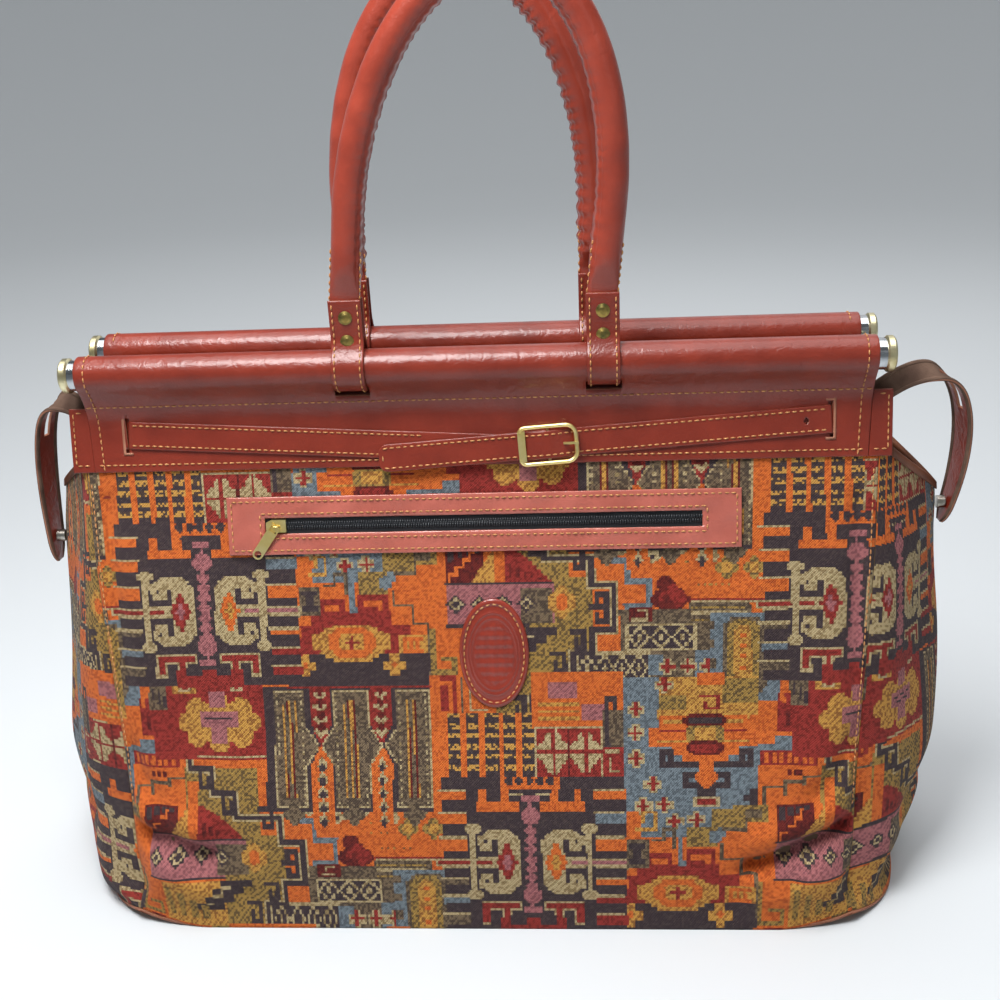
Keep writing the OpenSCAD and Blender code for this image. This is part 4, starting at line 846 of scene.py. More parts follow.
def thread(name, hex_colour, shade):
    """Waxed linen thread: two plies twisted 1.2 mm apart, with a dull sheen."""
    finish, tree, shader = fresh_finish(name, Roughness=0.6)
    place = put(tree, "TexCoord", {}, "Object")
    ply = put(tree, "TexNoise", {"Vector": place, "Scale": 1 / (1.2 * MM), "Detail": 2})
    bump = put(tree, "Bump", {"Height": ply, "Strength": 0.5, "Distance": 0.2 * MM})
    feed(tree, shader, {"Base Color": two_tone(tree, ply, 0.35, 0.65, shade, hex_colour), "Normal": bump})
    return finish


tan_thread = thread("waxed_tan_thread", "#cd955d", "#a56b3a")


def beads(name, places, along, up, length, thick, finish, body, slot="leather", rise=0.35):
    """Row of like small shapes, one at each place: five rings of six points, round in section, swelling and
    rising to the middle like a stitch drawn into the leather at both ends."""
    t, a = np.linspace(-1, 1, 5), np.arange(6) * np.pi / 3
    girth = np.sqrt(np.clip(1.06 - t ** 2, 0, None))[:, None] * thick / 2
    high = (rise * thick * (1 - t ** 2))[:, None] + girth * np.sin(a)
    places, along, up = (part[:, None, None] for part in (places, along, up))
    points = (places + along * (t * length / 2)[:, None, None] + up * high[..., None]
              + np.cross(along, up) * (girth * np.cos(a))[..., None])
    at = np.arange(30).reshape(5, 6)
    on = np.roll(at, -1, 1)
    walls = np.stack([at[:-1], at[1:], on[1:], on[:-1]], -1).reshape(-1, 4)
    ends = np.stack([at[0], at[-1, ::-1]])
    step = 30 * np.arange(len(points))[:, None, None]
    obj = skin(name, points.reshape(-1, 3), [(walls + step).reshape(-1, 4), (ends + step).reshape(-1, 6)])
    return fitted(obj, body, slot, finish)


def spaced(line, pitch):
    """Places about `pitch` apart along a line of points, with the line's direction at each."""
    run = run_along(line)
    count = max(1, int(run[-1] / pitch))
    at = (np.arange(count) + 0.5) * run[-1] / count
    places, ahead, behind = (np.stack([np.interp(np.clip(at + off, 0, run[-1]), run, part) for part in line.T], -1)
                             for off in (0, pitch / 4, -pitch / 4))
    return places, unit(ahead - behind)


def sewn(name, rows, normals=None, body="bag", mirrored=False):
    """Rows of stitches along lines of points that lie on a leather face, each line with its own normals; the
    leaning front's normal serves where none are given."""
    places, ways, ups = [], [], []
    for k, line in enumerate(rows):
        spots, way = spaced(line, stitch_pitch)
        near = np.argmin(np.linalg.norm(spots[:, None] - line[None], axis=2), 1)
        up = np.broadcast_to(normals[k] if normals else front_normal, line.shape)[near]
        places.append(spots)
        ways.append(way)
        ups.append(unit(up - way * np.sum(up * way, 1, keepdims=True)))
    places, ways, ups = (np.concatenate(part) for part in (places, ways, ups))
    if mirrored:
        places, ways, ups = (part * (1, -1, 1) for part in (places, -ways, ups))
    return beads(name, places, ways, ups, stitch_long, stitch_thick, tan_thread, body)


def to_rear(middle, *others):
    """A front grid and what goes with it, mirrored to the rear, with the columns turned round."""
    return (middle * (1, -1, 1))[:, ::-1], *(other[:, ::-1] for other in others)


def band(name, loops, slits, mirrored):
    """Leather band: its section carried along X, drawn in to the flap's shorter lower edge, with shallow puckers
    along the seam and the slits cut out for the belt and the handle loops."""
    path = band_path()
    on_flap = np.arange(len(path)) < len(path) / 3
    share = np.where(on_flap, np.clip((path[:, 1] - edge_up) / flap_tall, 0, 1), 1)
    half = blend(flap_bottom, sleeve_half, share)
    sides = [(sx, slit_half + 0.1 * MM) for sx in slits] + [(lx, notch_half) for lx in loops]
    cuts = [at + k * reach for at, reach in sides for k in (-1, 1)]
    along = np.unique(np.r_[lines(-sleeve_half, sleeve_half, 3.2 * MM), cuts])
    x = along[None] * half[:, None] / sleeve_half
    pucker = sum(high * np.sin(along / (wide * MM)) for high, wide in ((0.25, 2.1), (0.5, 23), (0.4, 61)))
    near_seam = np.exp(-((path[:, 1] - flap_top) / pucker_tall) ** 2)[:, None]
    middle = on_front(x, path[:, 1:], path[:, :1] + pucker[None] * near_seam * MM)
    gone = np.minimum((sleeve_half - abs(along))[None], run_along(path)[:, None])
    mid_x, (mid_out, mid_up) = (x[1:, 1:] + x[:-1, :-1]) / 2, ((path[1:] + path[:-1]) / 2).T[..., None]
    from_rod = np.hypot(mid_up - rod_up, mid_out - rod_out)
    keep = np.ones(mid_x.shape, bool)
    for sx in slits:
        keep &= ~((abs(mid_x - sx) < slit_half) & (abs(mid_up - slit_up) < slit_reach) & (from_rod > sleeve_radius))
    for lx in loops:
        keep &= ~((abs(mid_x - lx) < notch_half) & (from_rod > 1.01 * sleeve_radius) & (from_rod < notch_reach))
    way_out = outward(middle)
    grain = middle + way_out * band_thick / 2
    seam = np.argmin(abs(path[:len(path) // 3, 1] - flap_top - 1 * MM))
    crown = np.argmax(path[:, 1]) + 9
    ends = [np.argmin(abs(along - k * (sleeve_half - 6 * MM))) for k in (-1, 1)]
    rows, normals = ([grid[seam, 3:-3]] + [grid[3:crown, k] for k in ends] for grid in (grain, way_out))
    sewn(name + "_stitches", rows, normals, mirrored=mirrored)
    if mirrored:
        middle, gone, keep = to_rear(middle, gone, keep)
    return hide(name, middle, band_thick * worn_lip(gone), red_leather, keep)


def row_on_front(x0, up0, x1, up1, out, count=60):
    """Straight line on the leaning front from (x0, up0) to (x1, up1)."""
    t = np.linspace(0, 1, count)
    return on_front(blend(x0, x1, t), blend(up0, up1, t), out)


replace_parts(band("front_band_leather", front_loops, (-slit_x, slit_x), False), "front_band")
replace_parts(band("rear_band_leather", rear_loops, (), True), "rear_band")
low, high, in_by = edge_up + sew_in, flap_top - 3 * MM, 3 * MM
band_rows = [row_on_front(-flap_bottom + in_by, low, flap_bottom - in_by, low, flap_face)]
for side in (-1, 1):
    corner = side * (cheek_half - in_by)
    band_rows += [row_on_front(side * (flap_bottom + in_by), low, corner, low, cheek_out, 8),
                  row_on_front(corner, low, corner, high, cheek_out),
                  row_on_front(corner, high, side * (sleeve_half + in_by), high, cheek_out, 8)]
sewn("front_flap_stitches", band_rows)
sewn("rear_flap_stitches", band_rows, mirrored=True)
sewn("side_seam_stitches", *([grid[60:-12, k] for k in (3, -4)] for grid in (front_face, outward(front_face))))


def facing(name, mirrored):
    """Inner ply of the band: a sheet behind the cloth that steps out to the flap above the cloth's edge, with a
    cheek at each end that lies beside the flap on the front."""
    head = flap_top - 0.2 * MM
    up, along = lines(edge_up - facing_lap, head, 3 * MM)[:, None], lines(-1, 1, 0.02)[None]
    rise = ease((up - edge_up - facing_step) / (2 * MM))
    half = blend(facing_half, cheek_half, rise)
    swell = 0.35 * MM * np.sin(along / 0.037) * np.sin(up / (9 * MM))
    middle = on_front(along * half, up, blend(-2.85, -1.95, rise) * MM + swell)
    gone = np.minimum((1 - abs(along)) * half, np.minimum(up - up[0], up[-1] - up))
    sheets = [(name + "_facing_leather", middle, blend(1.7, 3.3, rise) * MM * worn_lip(gone))]
    up, share = lines(edge_up, head, 3 * MM)[:, None], lines(0, cheek_wide, 2 * MM)[None] / cheek_wide
    inner = blend(flap_bottom, sleeve_half, (up - edge_up) / flap_tall) + 0.2 * MM
    for side, end in ((-1, "left"), (1, "right")):
        x = side * blend(inner, cheek_half, share)[:, ::side]
        gone = np.minimum(np.minimum(abs(x) - inner, cheek_half - abs(x)), np.minimum(up - up[0], up[-1] - up))
        sheets.append((f"{name}_{end}_cheek_leather", on_front(x, up, 0.8 * MM), 1.4 * MM * worn_lip(gone)))
    pieces = [hide(part, *(to_rear(grid, thick) if mirrored else (grid, thick)), red_leather)
              for part, grid, thick in sheets]
    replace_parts(pieces[0], name + "_facing")


facing("front", False)
facing("rear", True)
gx, gu = np.meshgrid(np.array([-3.4, -1.7, 1.7, 3.4]) * MM, np.array([-14, -12.3, 12.3, 14]) * MM)
keep = np.ones((3, 3), bool)
keep[1, 1:] = False
for side, end in ((-1, "left"), (1, "right")):
    frame_grid = on_front(side * slit_x + gx, slit_up + gu, flap_face + 0.25 * MM)
    hide(end + "_slit_edge", frame_grid, 0.7 * MM, raw_edge, keep[:, ::-side])


# Rods and caps: chromed steel tubes in the sleeves, each end plugged with a dished brass cap.
# The chrome shows only as a short neck between sleeve and cap.
def metal(name, colour, shade, rough, patina=14):
    """Polished metal: tarnish clouds `patina` mm across and fine scratches 0.9 mm apart."""
    finish, tree, shader = fresh_finish(name, Metallic=1.0)
    place = put(tree, "TexCoord", {}, "Object")
    cloud = put(tree, "TexNoise", {"Vector": place, "Scale": 1 / (patina * MM), "Detail": 5})
    dull = put(tree, "MapRange", {"Value": cloud, "To Min": rough + 0.12, "To Max": rough - 0.05})
    marks = put(tree, "TexNoise", {"Vector": place, "Scale": 1 / (0.9 * MM), "Detail": 3})
    bump = put(tree, "Bump", {"Height": marks, "Strength": 0.12, "Distance": 0.1 * MM})
    tarnish = two_tone(tree, cloud, 0.35, 0.65, shade, colour)
    feed(tree, shader, {"Base Color": tarnish, "Roughness": dull, "Normal": bump})
    return finish


chrome = metal("chromed_steel", "#c2c6ca", "#8f9499", 0.1)
cap_brass = metal("pale_brass_plate", "#e2dab4", "#b9ab7c", 0.3)
for end in ("front", "rear"):
    dress(nodes[end + "_rod"], chrome)
    dress(nodes[end + "_left_cap"], cap_brass)
    dress(nodes[end + "_right_cap"], cap_brass)

# Zip pocket: a black coil zip on woven tape, closed by a brass slider, under a leather surround that is sewn
# to the cloth by an outer row and to the tape by an inner row. A pouch hangs behind it.
# Surround leather: a real glossy glaze, with its dye made lighter and pinker than the band's as a painted reflection
# of the lights.
glazed_leather_painted_sheen = leather("glazed_calf_painted_sheen", "#b76355", "#a55547", 0.36, crease=7, shine=0.9)
zip_x, zip_up, zip_sew = 4 * MM, edge_up - 40 * MM, 3.2 * MM
surround_long, surround_tall, surround_thick, surround_lift = 356 * MM, 41 * MM, 1.8 * MM, 1.1 * MM
window_long, window_tall, window_hem = 303 * MM, 11 * MM, 2 * MM
sides = ((surround_long, window_long, 2.6 * MM), (surround_tall, window_tall, 1.7 * MM))
gx, gu = np.meshgrid(*(np.unique(np.r_[lines(-outer / 2, outer / 2, step), -inner / 2, inner / 2])
                       for outer, inner, step in sides))
swell = (0.28 * np.sin(gx / (11 * MM) + gu / (6 * MM)) * np.sin(gx / (37 * MM))
         + 0.16 * np.sin(gx / (5 * MM) - gu / (3 * MM)))
middle = on_front(gx + zip_x, gu + zip_up, surround_thick / 2 + surround_lift + swell * MM)
mid_x, mid_u = (g[1:, 1:] / 2 + g[:-1, :-1] / 2 for g in (gx, gu))
keep = (abs(mid_x) > window_long / 2) | (abs(mid_u) > window_tall / 2)
gone = np.minimum(surround_long / 2 - abs(gx), surround_tall / 2 - abs(gu))
past_x, past_u = abs(gx) - window_long / 2, abs(gu) - window_tall / 2
hem = np.where((past_x < window_hem) & (past_u < window_hem), np.maximum(past_x, past_u), lip)
thick = surround_thick * worn_lip(np.minimum(gone, np.clip(hem, 0, lip)))
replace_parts(hide("zip_surround_leather", middle, thick, glazed_leather_painted_sheen, keep), "zip_surround")
zip_rows = []
for long, tall, off in ((surround_long, surround_tall, -zip_sew), (window_long, window_tall, zip_sew)):
    wide, high = long / 2 + off, tall / 2 + off
    corners = [(zip_x + k * wide, zip_up + m * high) for k, m in ((-1, -1), (1, -1), (1, 1), (-1, 1), (-1, -1))]
    zip_rows += [row_on_front(*start, *end, surround_thick + surround_lift)
                 for start, end in zip(corners, corners[1:])]
sewn("zip_stitches", zip_rows)
dress(nodes["zip_tape"], plain_cloth("zip_tape_twill", "#2a2c31", "#17181b", 1.1))


def nylon(name, hex_colour, shade):
    """Extruded nylon: smooth, half glossy, with a faint cloudiness 6 mm across."""
    finish, tree, shader = fresh_finish(name, Roughness=0.38)
    place = put(tree, "TexCoord", {}, "Object")
    cloud = put(tree, "TexNoise", {"Vector": place, "Scale": 1 / (6 * MM)})
    body = put(tree, "Mix", {0: cloud, 6: linear(shade), 7: linear(hex_colour)}, 2, data_type="RGBA")
    feed(tree, shader, {"Base Color": body})
    return finish


black_nylon = nylon("black_nylon", "#2c2e33", "#131417")
tooth_pitch, tooth_long, tooth_thick, tooth_off, tooth_out = 1.7 * MM, 3 * MM, 1.3 * MM, 1.45 * MM, 1.5 * MM
cord_wide, cord_tall = 1.1 * MM, 0.7 * MM
front_rise = np.array([0, np.sin(lean), np.cos(lean)])
x = (np.arange(int(window_long / tooth_pitch)) + 0.5) * tooth_pitch - window_long / 2
places = np.concatenate([on_front(zip_x + x + shift, zip_up + off, tooth_out)
                         for shift, off in ((0, -tooth_off), (tooth_pitch / 2, tooth_off))])
ways, ups = (np.broadcast_to(way, places.shape) for way in (front_rise, front_normal))
coil = beads("zip_coil_teeth", places, ways, ups, tooth_long, tooth_thick, black_nylon, "bag", "zip_nylon", rise=0.25)
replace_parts(coil, "zip_coil")
a = np.arange(8) * np.pi / 4
cord_ends = np.array([[-0.5], [0.5]]) * window_long
cord = on_front(zip_x + cord_ends, zip_up + cord_wide * np.cos(a), 1.1 * MM + cord_tall * np.sin(a))
loft("zip_filler_cord", cord[:, ::-1], black_nylon, "bag", "zip_nylon")
bright_brass = metal("polished_brass", "#fbeaa8", "#ead283", 0.34)
for name in ("zip_slider", "zip_puller", "buckle_frame", "buckle_prong"):
    dress(nodes[name], bright_brass)
pouch_low, pouch_high = (np.array(corner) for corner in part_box("pocket_bag"))
pouch_half, pouch_top = (pouch_high[0] - pouch_low[0]) / 2, pouch_high[2] / np.cos(lean)
pouch_tall = (pouch_high[2] - pouch_low[2]) / np.cos(lean)
gx, gu = np.meshgrid(lines(-pouch_half, pouch_half, 5 * MM), lines(-pouch_tall, 0, 5 * MM))
full = ease(np.minimum(pouch_half - abs(gx), np.minimum(-gu, gu + pouch_tall)) / (30 * MM))
sway = 1.2 * np.sin(gx / (23 * MM) + gu / (31 * MM)) + 0.8 * np.sin(gx / (11 * MM) - gu / (17 * MM)) - 2
middle = on_front(zip_x + gx, pouch_top - 4 * MM + gu * 0.96, -5.5 * MM + full * sway * MM)
pouch = hide("pouch_cotton", middle, 1.2 * MM + 3 * full * MM, lining_finish, slot="pocket_cloth")
dress(pouch, lining_finish, lining_finish, lining_finish)
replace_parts(pouch, "pocket_bag")

# Badge: an oval patch of glossier leather, pressed with a raised rim, two inner rings and a plain lattice,
# and sewn to the cloth round its edge.
badge_leather = leather("pressed_badge_leather", "#8a3021", "#7a2719", 0.3, crease=12, shine=0.7)
badge_x, badge_up, badge_wide, badge_tall = 10 * MM, edge_up - 134 * MM, 49 * MM, 79 * MM
turn = np.linspace(0, 2 * np.pi, 145)[:-1]
r = np.r_[1, 1, 0.99, 0.97, np.linspace(0.95, 0.03, 46)][:, None]
level = np.r_[0.1, 1.0, 1.5, 1.75, np.full(46, 1.7)][:, None]
bx, bu = r * np.cos(turn) * badge_wide / 2, r * np.sin(turn) * badge_tall / 2
relief = ease((0.58 - r) / 0.05) * 0.6 * np.cos((bx + bu) / (2.1 * MM)) * np.cos((bx - bu) / (2.1 * MM))
for high, at, wide in ((0.75, 0.93, 0.028), (0.8, 0.75, 0.022), (0.6, 0.66, 0.022), (-0.35, 0.86, 0.02)):
    relief = relief + high * np.exp(-((r - at) / wide) ** 2)
rings = on_front(badge_x + bx, badge_up + bu, (level + np.where(r < 0.98, relief, 0)) * MM)
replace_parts(loft("badge_oval", rings[:, ::-1], badge_leather, "bag", "leather"), "badge")
round_x, round_up = 0.86 * badge_wide / 2 * np.cos(turn), 0.9 * badge_tall / 2 * np.sin(turn)
round_badge = on_front(badge_x + round_x, badge_up + round_up, 1.6 * MM)
sewn("badge_stitches", [np.r_[round_badge, round_badge[:1]]])

# Belt: two leather halves that come out of slits in the band. The left half holds the brass buckle, and the
# right half runs through it to a loose rounded tip, with a spare hole.
belt_thick, belt_half, belt_gap, tip_round = 1.8 * MM, 9.5 * MM, 0.1 * MM, 6 * MM
buckle_x, buckle_up = 52 * MM, edge_up + 13.5 * MM
slope = np.arctan((slit_up - buckle_up) / (slit_x - buckle_x))
run = (slit_x - buckle_x) / np.cos(slope)
tip_long, knee_long, tuck_long = 117 * MM, 34 * MM, 1.6 * MM
hole_at, hole_radius, hump_high, hump_half = 173 * MM, 1.8 * MM, 4.88 * MM, 24 * MM


def belt_spine(x, side, out):
    """Belt places: along the sloping line through the buckle's bar, across it, and out from the flap."""
    return on_front(buckle_x + x * np.cos(slope) - side * np.sin(slope),
                    buckle_up + x * np.sin(slope) + side * np.cos(slope), out + flap_face)


def belt_level(x):
    """Middle of the right half above the flap: over the left half, over the bar as one squared cosine, then down."""
    hump = hump_high * np.cos(np.pi / 2 * np.clip(x / hump_half, -1, 1)) ** 2
    return blend(1.5, 0.5, ease(x / (30 * MM) + 0.5)) * belt_thick + hump + belt_gap


def belt_half_width(gone):
    """Half width near the tip: a quarter circle in each corner."""
    return belt_half - tip_round + np.sqrt(tip_round ** 2 - (tip_round - np.clip(gone, 0, tip_round)) ** 2)


along = np.unique(np.r_[lines(-tip_long, run, 1.8 * MM), np.linspace(run - 1 * MM, run + tuck_long, 6),
                        np.linspace(hole_at - 4 * MM, hole_at + 4 * MM, 11)])
share = lines(-belt_half, belt_half, 1.1 * MM)[:, None] / belt_half
half = belt_half_width(along + tip_long)
ripple = 0.5 * np.sin(along / (9 * MM)) * np.exp(-((along + 95 * MM) / (26 * MM)) ** 2)
ripple = np.clip(ripple + 0.25 * np.sin(along / (13 * MM) + 1), -0.2, 1) + 0.1
level = belt_level(along) + ripple * MM - 4.5 * MM * ease((along - run + 0.6 * MM) / (2 * MM))
gone = np.minimum((1 - abs(share)) * half, np.minimum(along + tip_long, run + tuck_long - along))
mid_x, mid_s = (along[1:] + along[:-1]) / 2, (share[1:] + share[:-1]) / 2 * belt_half
keep = np.hypot(mid_x - hole_at, mid_s) > hole_radius
middle = belt_spine(along, share * half, level)
right_belt = hide("belt_right_leather", middle, belt_thick * worn_lip(gone), red_leather, keep)
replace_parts(right_belt, "belt_right")
tip = -tip_long + 3 * MM
t = np.linspace(tip, run - 3 * MM, 160)
lift = belt_thick / 2 + belt_gap
reach = belt_half_width(t + tip_long) - 2.6 * MM
belt_rows = [belt_spine(t, side * reach, belt_level(t) + lift) for side in (-1, 1)]
belt_rows.append(belt_spine(tip, np.linspace(-1, 1, 8) * (belt_half - 5 * MM), belt_level(-tip_long) + lift))
sewn("belt_right_stitches", belt_rows)
bar, slit_end = np.array([buckle_x, buckle_up]), np.array([-slit_x, slit_up])
knee = bar - knee_long * np.array([np.cos(slope), np.sin(slope)])
legs = np.r_[blend(slit_end, knee, 0.86 * lines(0, 1, 1 / 130)[:, None]),
             blend(knee, bar, np.linspace(0, 1, 10)[:, None])]
leg_run = run_along(legs)
gone_by = np.linspace(0, 1, 170) * leg_run[-1]
line = np.stack([np.interp(gone_by, leg_run, part) for part in legs.T], -1)
way = unit(np.gradient(line, axis=0))


def left_spine(side, out):
    """Left half's places: along its bent line, across it, and out from the flap."""
    return on_front(line[:, 0] - side * way[:, 1], line[:, 1] + side * way[:, 0], out + flap_face)


level = lift - 3.2 * MM * ease((2.5 * MM - gone_by) / (2 * MM))
gone = np.minimum((1 - abs(share)) * belt_half, gone_by)
thick = (belt_thick - 0.1 * MM) * worn_lip(gone)
left_belt = hide("belt_left_leather", left_spine(share * belt_half, level), thick, red_leather)
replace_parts(left_belt, "belt_left")
sewn("belt_left_stitches", [left_spine(side, belt_thick + belt_gap)[2:120] for side in (6.9 * MM, -6.9 * MM)])

# Side straps: narrow leather straps sewn inside the front facing, arching out over the mouth's ends and pressed
# onto a snap at the crease. The outside is worn to suede with raised rims, and a slot is cut along the middle.
suede = leather("worn_suede", "#6d5648", "#4a372e", 0.9, grain=0.9, mottle=16, shine=0)
snap_steel = metal("nickel_snap", "#c9c5bb", "#8f8a7e", 0.25)
strap_thick, strap_up, slot_start, slot_end, tip_start = 2 * MM, 366 * MM, 0.3, 0.56, 0.93
strap_root = half_depth(strap_up) - 3.8 * MM / np.cos(lean) - strap_thick
strap_depths = -strap_root * np.array([1, 0.6, -0.15, 0])
t = np.unique(np.r_[np.linspace(0, 1, 130), slot_start, slot_end])
mid_t = (t[1:] + t[:-1]) / 2
for side, name, guide_x, guide_z in ((1, "right", (268, 335, 350, 328), (366, 420, 335, 267)),
                                     (-1, "left", (268, 306.5, 321.3, 321.7), (366, 404, 345, 248))):
    # The spine is a cubic curve led by four guide points, and the strap turns from upright to level along it
    guides = np.c_[np.array(guide_x) * MM, strap_depths, np.array(guide_z) * MM]
    spine = np.c_[(1 - t) ** 3, 3 * t * (1 - t) ** 2, 3 * t * t * (1 - t), t ** 3] @ guides
    way = unit(np.gradient(spine, t, axis=0))
    level = unit(np.stack([-0.45 * np.sin(np.pi * t), np.ones_like(t), np.zeros_like(t)], -1))
    wide = blend(front_rise, level, ease(2 * t)[:, None])
    wide = unit(wide - way * np.sum(wide * way, 1, keepdims=True))
    half = blend(8 * MM, 11 * MM, ease(t)) * np.sqrt(1 - (np.clip(t - tip_start, 0, None) / 0.075) ** 2)
    rows = np.unique(np.r_[np.linspace(-1, 1, 21), -0.98, 0.98, -0.25, 0.25])
    in_slot = (abs(rows[1:] + rows[:-1])[:, None] / 2 < 0.24) & (mid_t > slot_start) & (mid_t < slot_end)
    plies = [(name + "_strap_leather", rows, 1 - abs(rows), strap_thick, ~in_slot[:, ::side], red_leather)]
    for k, edge in ((-1, "rear"), (1, "front")):
        rows = np.sort(k * np.array([0.66, 0.68, 0.75, 0.85, 0.97, 1.01]))
        gone = np.minimum(1.01 - abs(rows), abs(rows) - 0.66)
        plies.append((f"{name}_strap_{edge}_rim", rows, gone, strap_thick + 0.9 * MM, None, suede))
    made = []
    for part, rows, gone, thick, keep, back in plies:
        middle = (spine + wide * (rows[:, None] * half)[..., None]) * (side, 1, 1)
        thick = thick * worn_lip(gone[:, None] * half)
        made.append(hide(part, middle[:, ::side], thick[:, ::side], suede, keep, back=back))
    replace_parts(made[0], name + "_side_strap")
    dress(nodes[name + "_snap"], snap_steel)

# Handles: leather rolled round a cord core and sewn along the inside, flattened at both ends. Each end is held
# by two brass rivets between the plies of a loop that goes round the sleeve.
rivet_brass = metal("antique_brass", "#a08a4c", "#5c5a38", 0.34, patina=5)
handle_leather = leather("rolled_handle_leather", "#963b2a", "#853020", 0.36, crease=9, shine=0.6)
handle_half, handle_spring, handle_apex, handle_foot = 85 * MM, 100 * MM, 252 * MM, 14 * MM
handle_radius, handle_flat, roll_long, handle_sewn = 10 * MM, 3 * MM, 24 * MM, 34 * MM
loop_half, loop_top, loop_mid = 11 * MM, 47.5 * MM, 4.2 * MM
loop_radius, loop_thick, loop_sew = 14.5 * MM, 2.2 * MM, 8.6 * MM


def loop_section():
    """Loop's section as (depth, height) about the rod: down one ply, round the sleeve and up the other ply."""
    pinch = np.array([loop_mid, loop_radius + 0.8 * MM])
    touch = tangent(pinch, loop_radius, -1)
    turn = np.linspace(touch, -np.pi - touch, 60)
    ply = lines(pinch[1], loop_top + 30 * MM, 2.2 * MM)
    ply = ply[(ply < loop_top - 1 * MM) & (ply > pinch[1] + 1 * MM)]
    ply = np.r_[ply, loop_top - lip, loop_top - 0.3 * MM, loop_top][::-1]
    first = np.c_[np.full(len(ply), loop_mid), ply]
    return smoothed(np.r_[first, loop_radius * np.c_[np.cos(turn), np.sin(turn)], (first * (-1, 1))[::-1]], 4, -4, 2)


def handle_line(lean_over):
    """Handle's middle line as (sideways, above the rod): two straight legs and a half ellipse that leans over."""
    turn = np.linspace(np.pi, 0, 290)
    leg = np.c_[np.full(59, handle_half), np.linspace(handle_foot, handle_spring, 60)[:-1]]
    arch = np.c_[handle_half * np.cos(turn), handle_spring + (handle_apex - handle_spring) * np.sin(turn)]
    line = np.r_[leg * (-1, 1), arch, leg[::-1]]
    line[:, 0] += lean_over * np.clip((line[:, 1] - loop_top) / (handle_apex - loop_top), 0, 1)
    return line


def rolled_rings(line, wrinkled):
    """Handle's section at each place of its line, as reach outwards from the arch and to the front: round, but
    flat within the loops, with creases inside the arch, and the seam's ridge and groove."""
    run = run_along(line)[:, None]
    roll = ease((line[:, 1:] - loop_top) / roll_long)
    a = np.linspace(0, 2 * np.pi, 49)[:-1]
    inside = np.exp(-((np.cos(a) + 1) / 0.6) ** 2)
    crease = wrinkled * np.sin(run / (1.3 * MM) + 2.5 * np.sin(run / (17 * MM))) * inside
    crease = crease + 0.3 * np.sin(run / (6 * MM) + 3 * np.sin(run / (23 * MM))) * np.cos(a - 0.9) ** 4
    ridge = 2.2 * np.exp(-((a - 1.14 * np.pi) / 0.14) ** 2) * (0.85 + 0.15 * np.sin(run / (1.1 * MM)))
    groove = 0.9 * np.exp(-((a - 0.8 * np.pi) / 0.1) ** 2)
    reach = 1 + (crease + ridge - groove) * roll / 10
    wide, deep = (np.sign(part) * abs(part) ** blend(0.45, 1, roll) * reach for part in (np.cos(a), np.sin(a)))
    return handle_radius * wide, blend(handle_flat, handle_radius, roll) * deep


for name, y, handle_x, over, wrinkled in (("front", rod_y, 5 * MM, 24 * MM, 0.3), ("rear", -rod_y, 0, 0, 0.9)):
    body = name + "_handle"
    line = handle_line(over)
    way = unit(np.gradient(line, axis=0))
    wide, deep = rolled_rings(line, wrinkled)
    rings = np.stack([handle_x + line[:, :1] - way[:, 1:] * wide, y - deep,
                      rod_z + line[:, 1:] + way[:, :1] * wide], -1)
    rolled = loft(name + "_handle_leather", rings[:, ::-1], handle_leather, body, "leather")
    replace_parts(rolled, name + "_handle")
    middle_line = np.stack([handle_x + line[:, 0], np.full(len(line), y), rod_z + line[:, 1]], -1)
    flat = np.flatnonzero((line[:, 1] > loop_top - 2 * MM) & (line[:, 1] < loop_top + handle_sewn))
    legs = [(part, k) for part in (flat[flat < len(line) / 2], flat[flat > len(line) / 2]) for k in (2, 22)]
    rows, normals = ([grid[part, k] for part, k in legs] for grid in (rings, rings - middle_line[:, None]))
    sewn(name + "_handle_stitches", rows, normals, body)
    dress(nodes[name + "_handle_rivets"], rivet_brass)
    section = loop_section()
    loop_x = lines(-loop_half, loop_half, 1.4 * MM)
    way = unit(np.gradient(section, axis=0))
    away = np.c_[np.zeros(len(way)), way[:, 1], way[:, 0]]
    hem = section + np.c_[-way[:, 1], way[:, 0]] * (loop_thick / 2 + 0.05 * MM)
    ends_gone = np.minimum(run_along(section), run_along(section[::-1])[::-1])[:, None]
    thick = loop_thick * worn_lip(np.minimum((loop_half - abs(loop_x))[None], ends_gone))
    for side, end in ((-1, "left"), (1, "right")):
        centre = handle_x + side * handle_half
        middle = np.stack(np.broadcast_arrays(centre + loop_x, y - section[:, :1], rod_z + section[:, 1:]), -1)
        loop = hide(f"{name}_{end}_loop_leather", middle[:, ::-1], thick[:, ::-1], red_leather, body=body)
        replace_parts(loop, f"{name}_{end}_loop")
        rows = [np.c_[np.full(len(hem), centre + off), y - hem[:, 0], rod_z + hem[:, 1]][3:-3]
                for off in (-loop_sew, loop_sew)]
        sewn(f"{name}_{end}_loop_stitches", rows, [away[3:-3]] * 2, body)


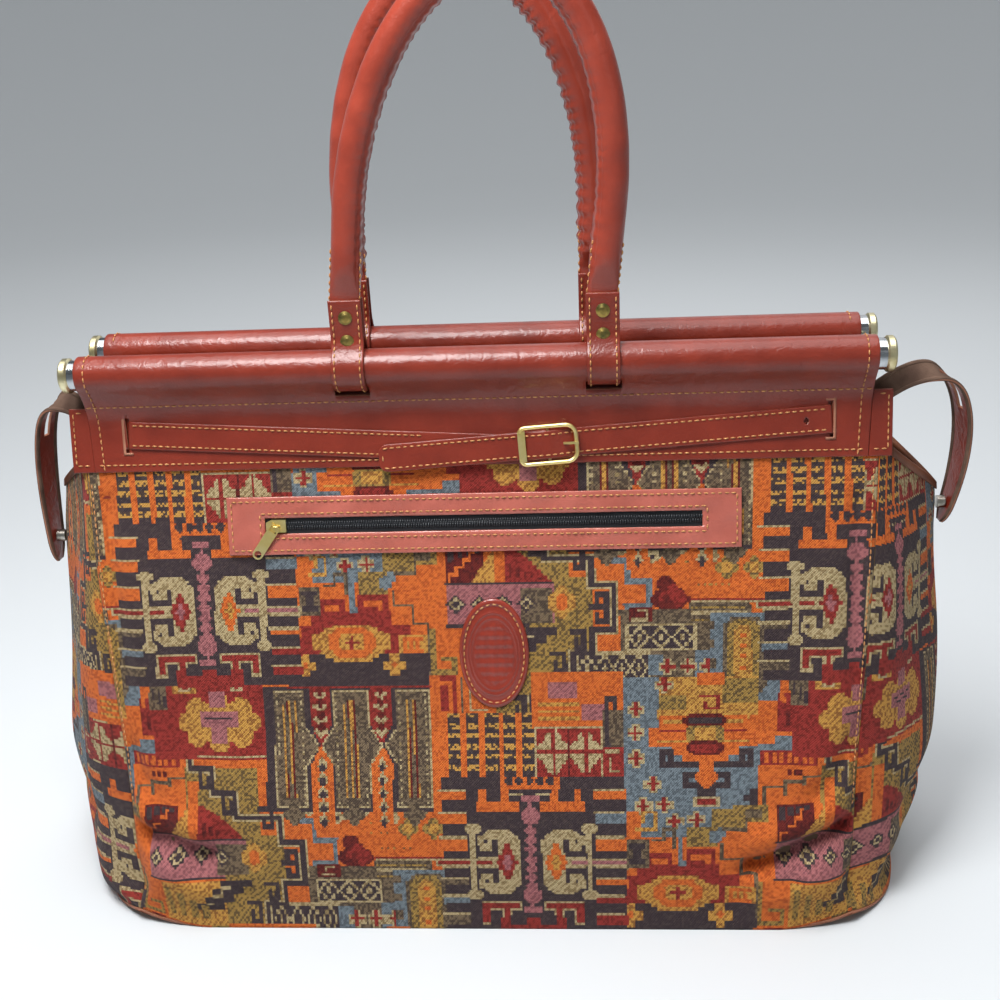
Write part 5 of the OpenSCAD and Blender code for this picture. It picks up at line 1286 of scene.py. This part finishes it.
# Studio: a pale paper bowl, a wide soft ceiling light, a key light above and in front, two fills, and the camera.
# None of it belongs to the bag.
def floor():
    """Pale paper: a flat disc far wider than the bag that curves up all round it, one profile turned about z."""
    turn, angle = np.linspace(0, np.pi / 2, 13), np.linspace(0, 2 * np.pi, 73)[:, None]
    reach, height = np.r_[0.01, 3 + 3 * np.sin(turn)], np.r_[0, 3 - 3 * np.cos(turn)]
    grid = np.stack(np.broadcast_arrays(reach * np.cos(angle), reach * np.sin(angle), height), -1)
    obj = skin("floor", grid.reshape(-1, 3), [cells(*grid.shape[:2])])
    dress(obj, fresh_finish("floor_paper", Roughness=0.9, Base_Color=linear("#ced2d5"))[0])


floor()
world = bpy.data.worlds.new("studio")
bpy.context.scene.world = world
world.use_nodes = True
feed(world.node_tree, world.node_tree.nodes["Background"], {"Color": linear("#e8ecf0"), "Strength": 0.2})


def softbox(name, place, aim, size, watts):
    """Square area light at `place`, turned to `aim`."""
    data = bpy.data.lights.new(name, "AREA")
    data.size = size
    data.energy = watts
    obj = bpy.data.objects.new(name, data)
    bpy.context.collection.objects.link(obj)
    obj.location = place
    obj.rotation_euler = (Vector(aim) - Vector(place)).to_track_quat("-Z", "Y").to_euler()


softbox("key", (-0.25, -0.4, 1.3), (0, -0.05, 0.3), 0.55, 18)
softbox("front", (1.5, -2.1, 1.4), (0, 0, 0.25), 1.3, 2)
softbox("back", (0.4, 1.5, 1.4), (0, 0, 0.3), 1.4, 4)
softbox("overhead", (0, 0.3, 4.2), (0, 0.3, 0), 4, 135)

eye_place = np.array([79.1, -845.1, 636.8]) * MM
pitch, yaw, roll = np.radians((-22.3, 4.4, -2.8))
focal_px, frame_px, sensor_mm = 1261.9, 1000, 36
ahead = np.array([np.sin(-yaw) * np.cos(pitch), np.cos(-yaw) * np.cos(pitch), np.sin(pitch)])
right = unit(np.cross(ahead, (0, 0, 1)))
above = np.cross(right, ahead)
right, above = np.cos(roll) * right + np.sin(roll) * above, np.cos(roll) * above - np.sin(roll) * right
camera = bpy.data.objects.new("camera", bpy.data.cameras.new("camera"))
bpy.context.collection.objects.link(camera)
camera.matrix_world = Matrix([*np.c_[right, above, -ahead, eye_place], (0, 0, 0, 1)])
camera.data.sensor_width = sensor_mm
camera.data.lens = sensor_mm * focal_px / frame_px
bpy.context.scene.camera = camera
bpy.context.scene.view_settings.view_transform = "Standard"
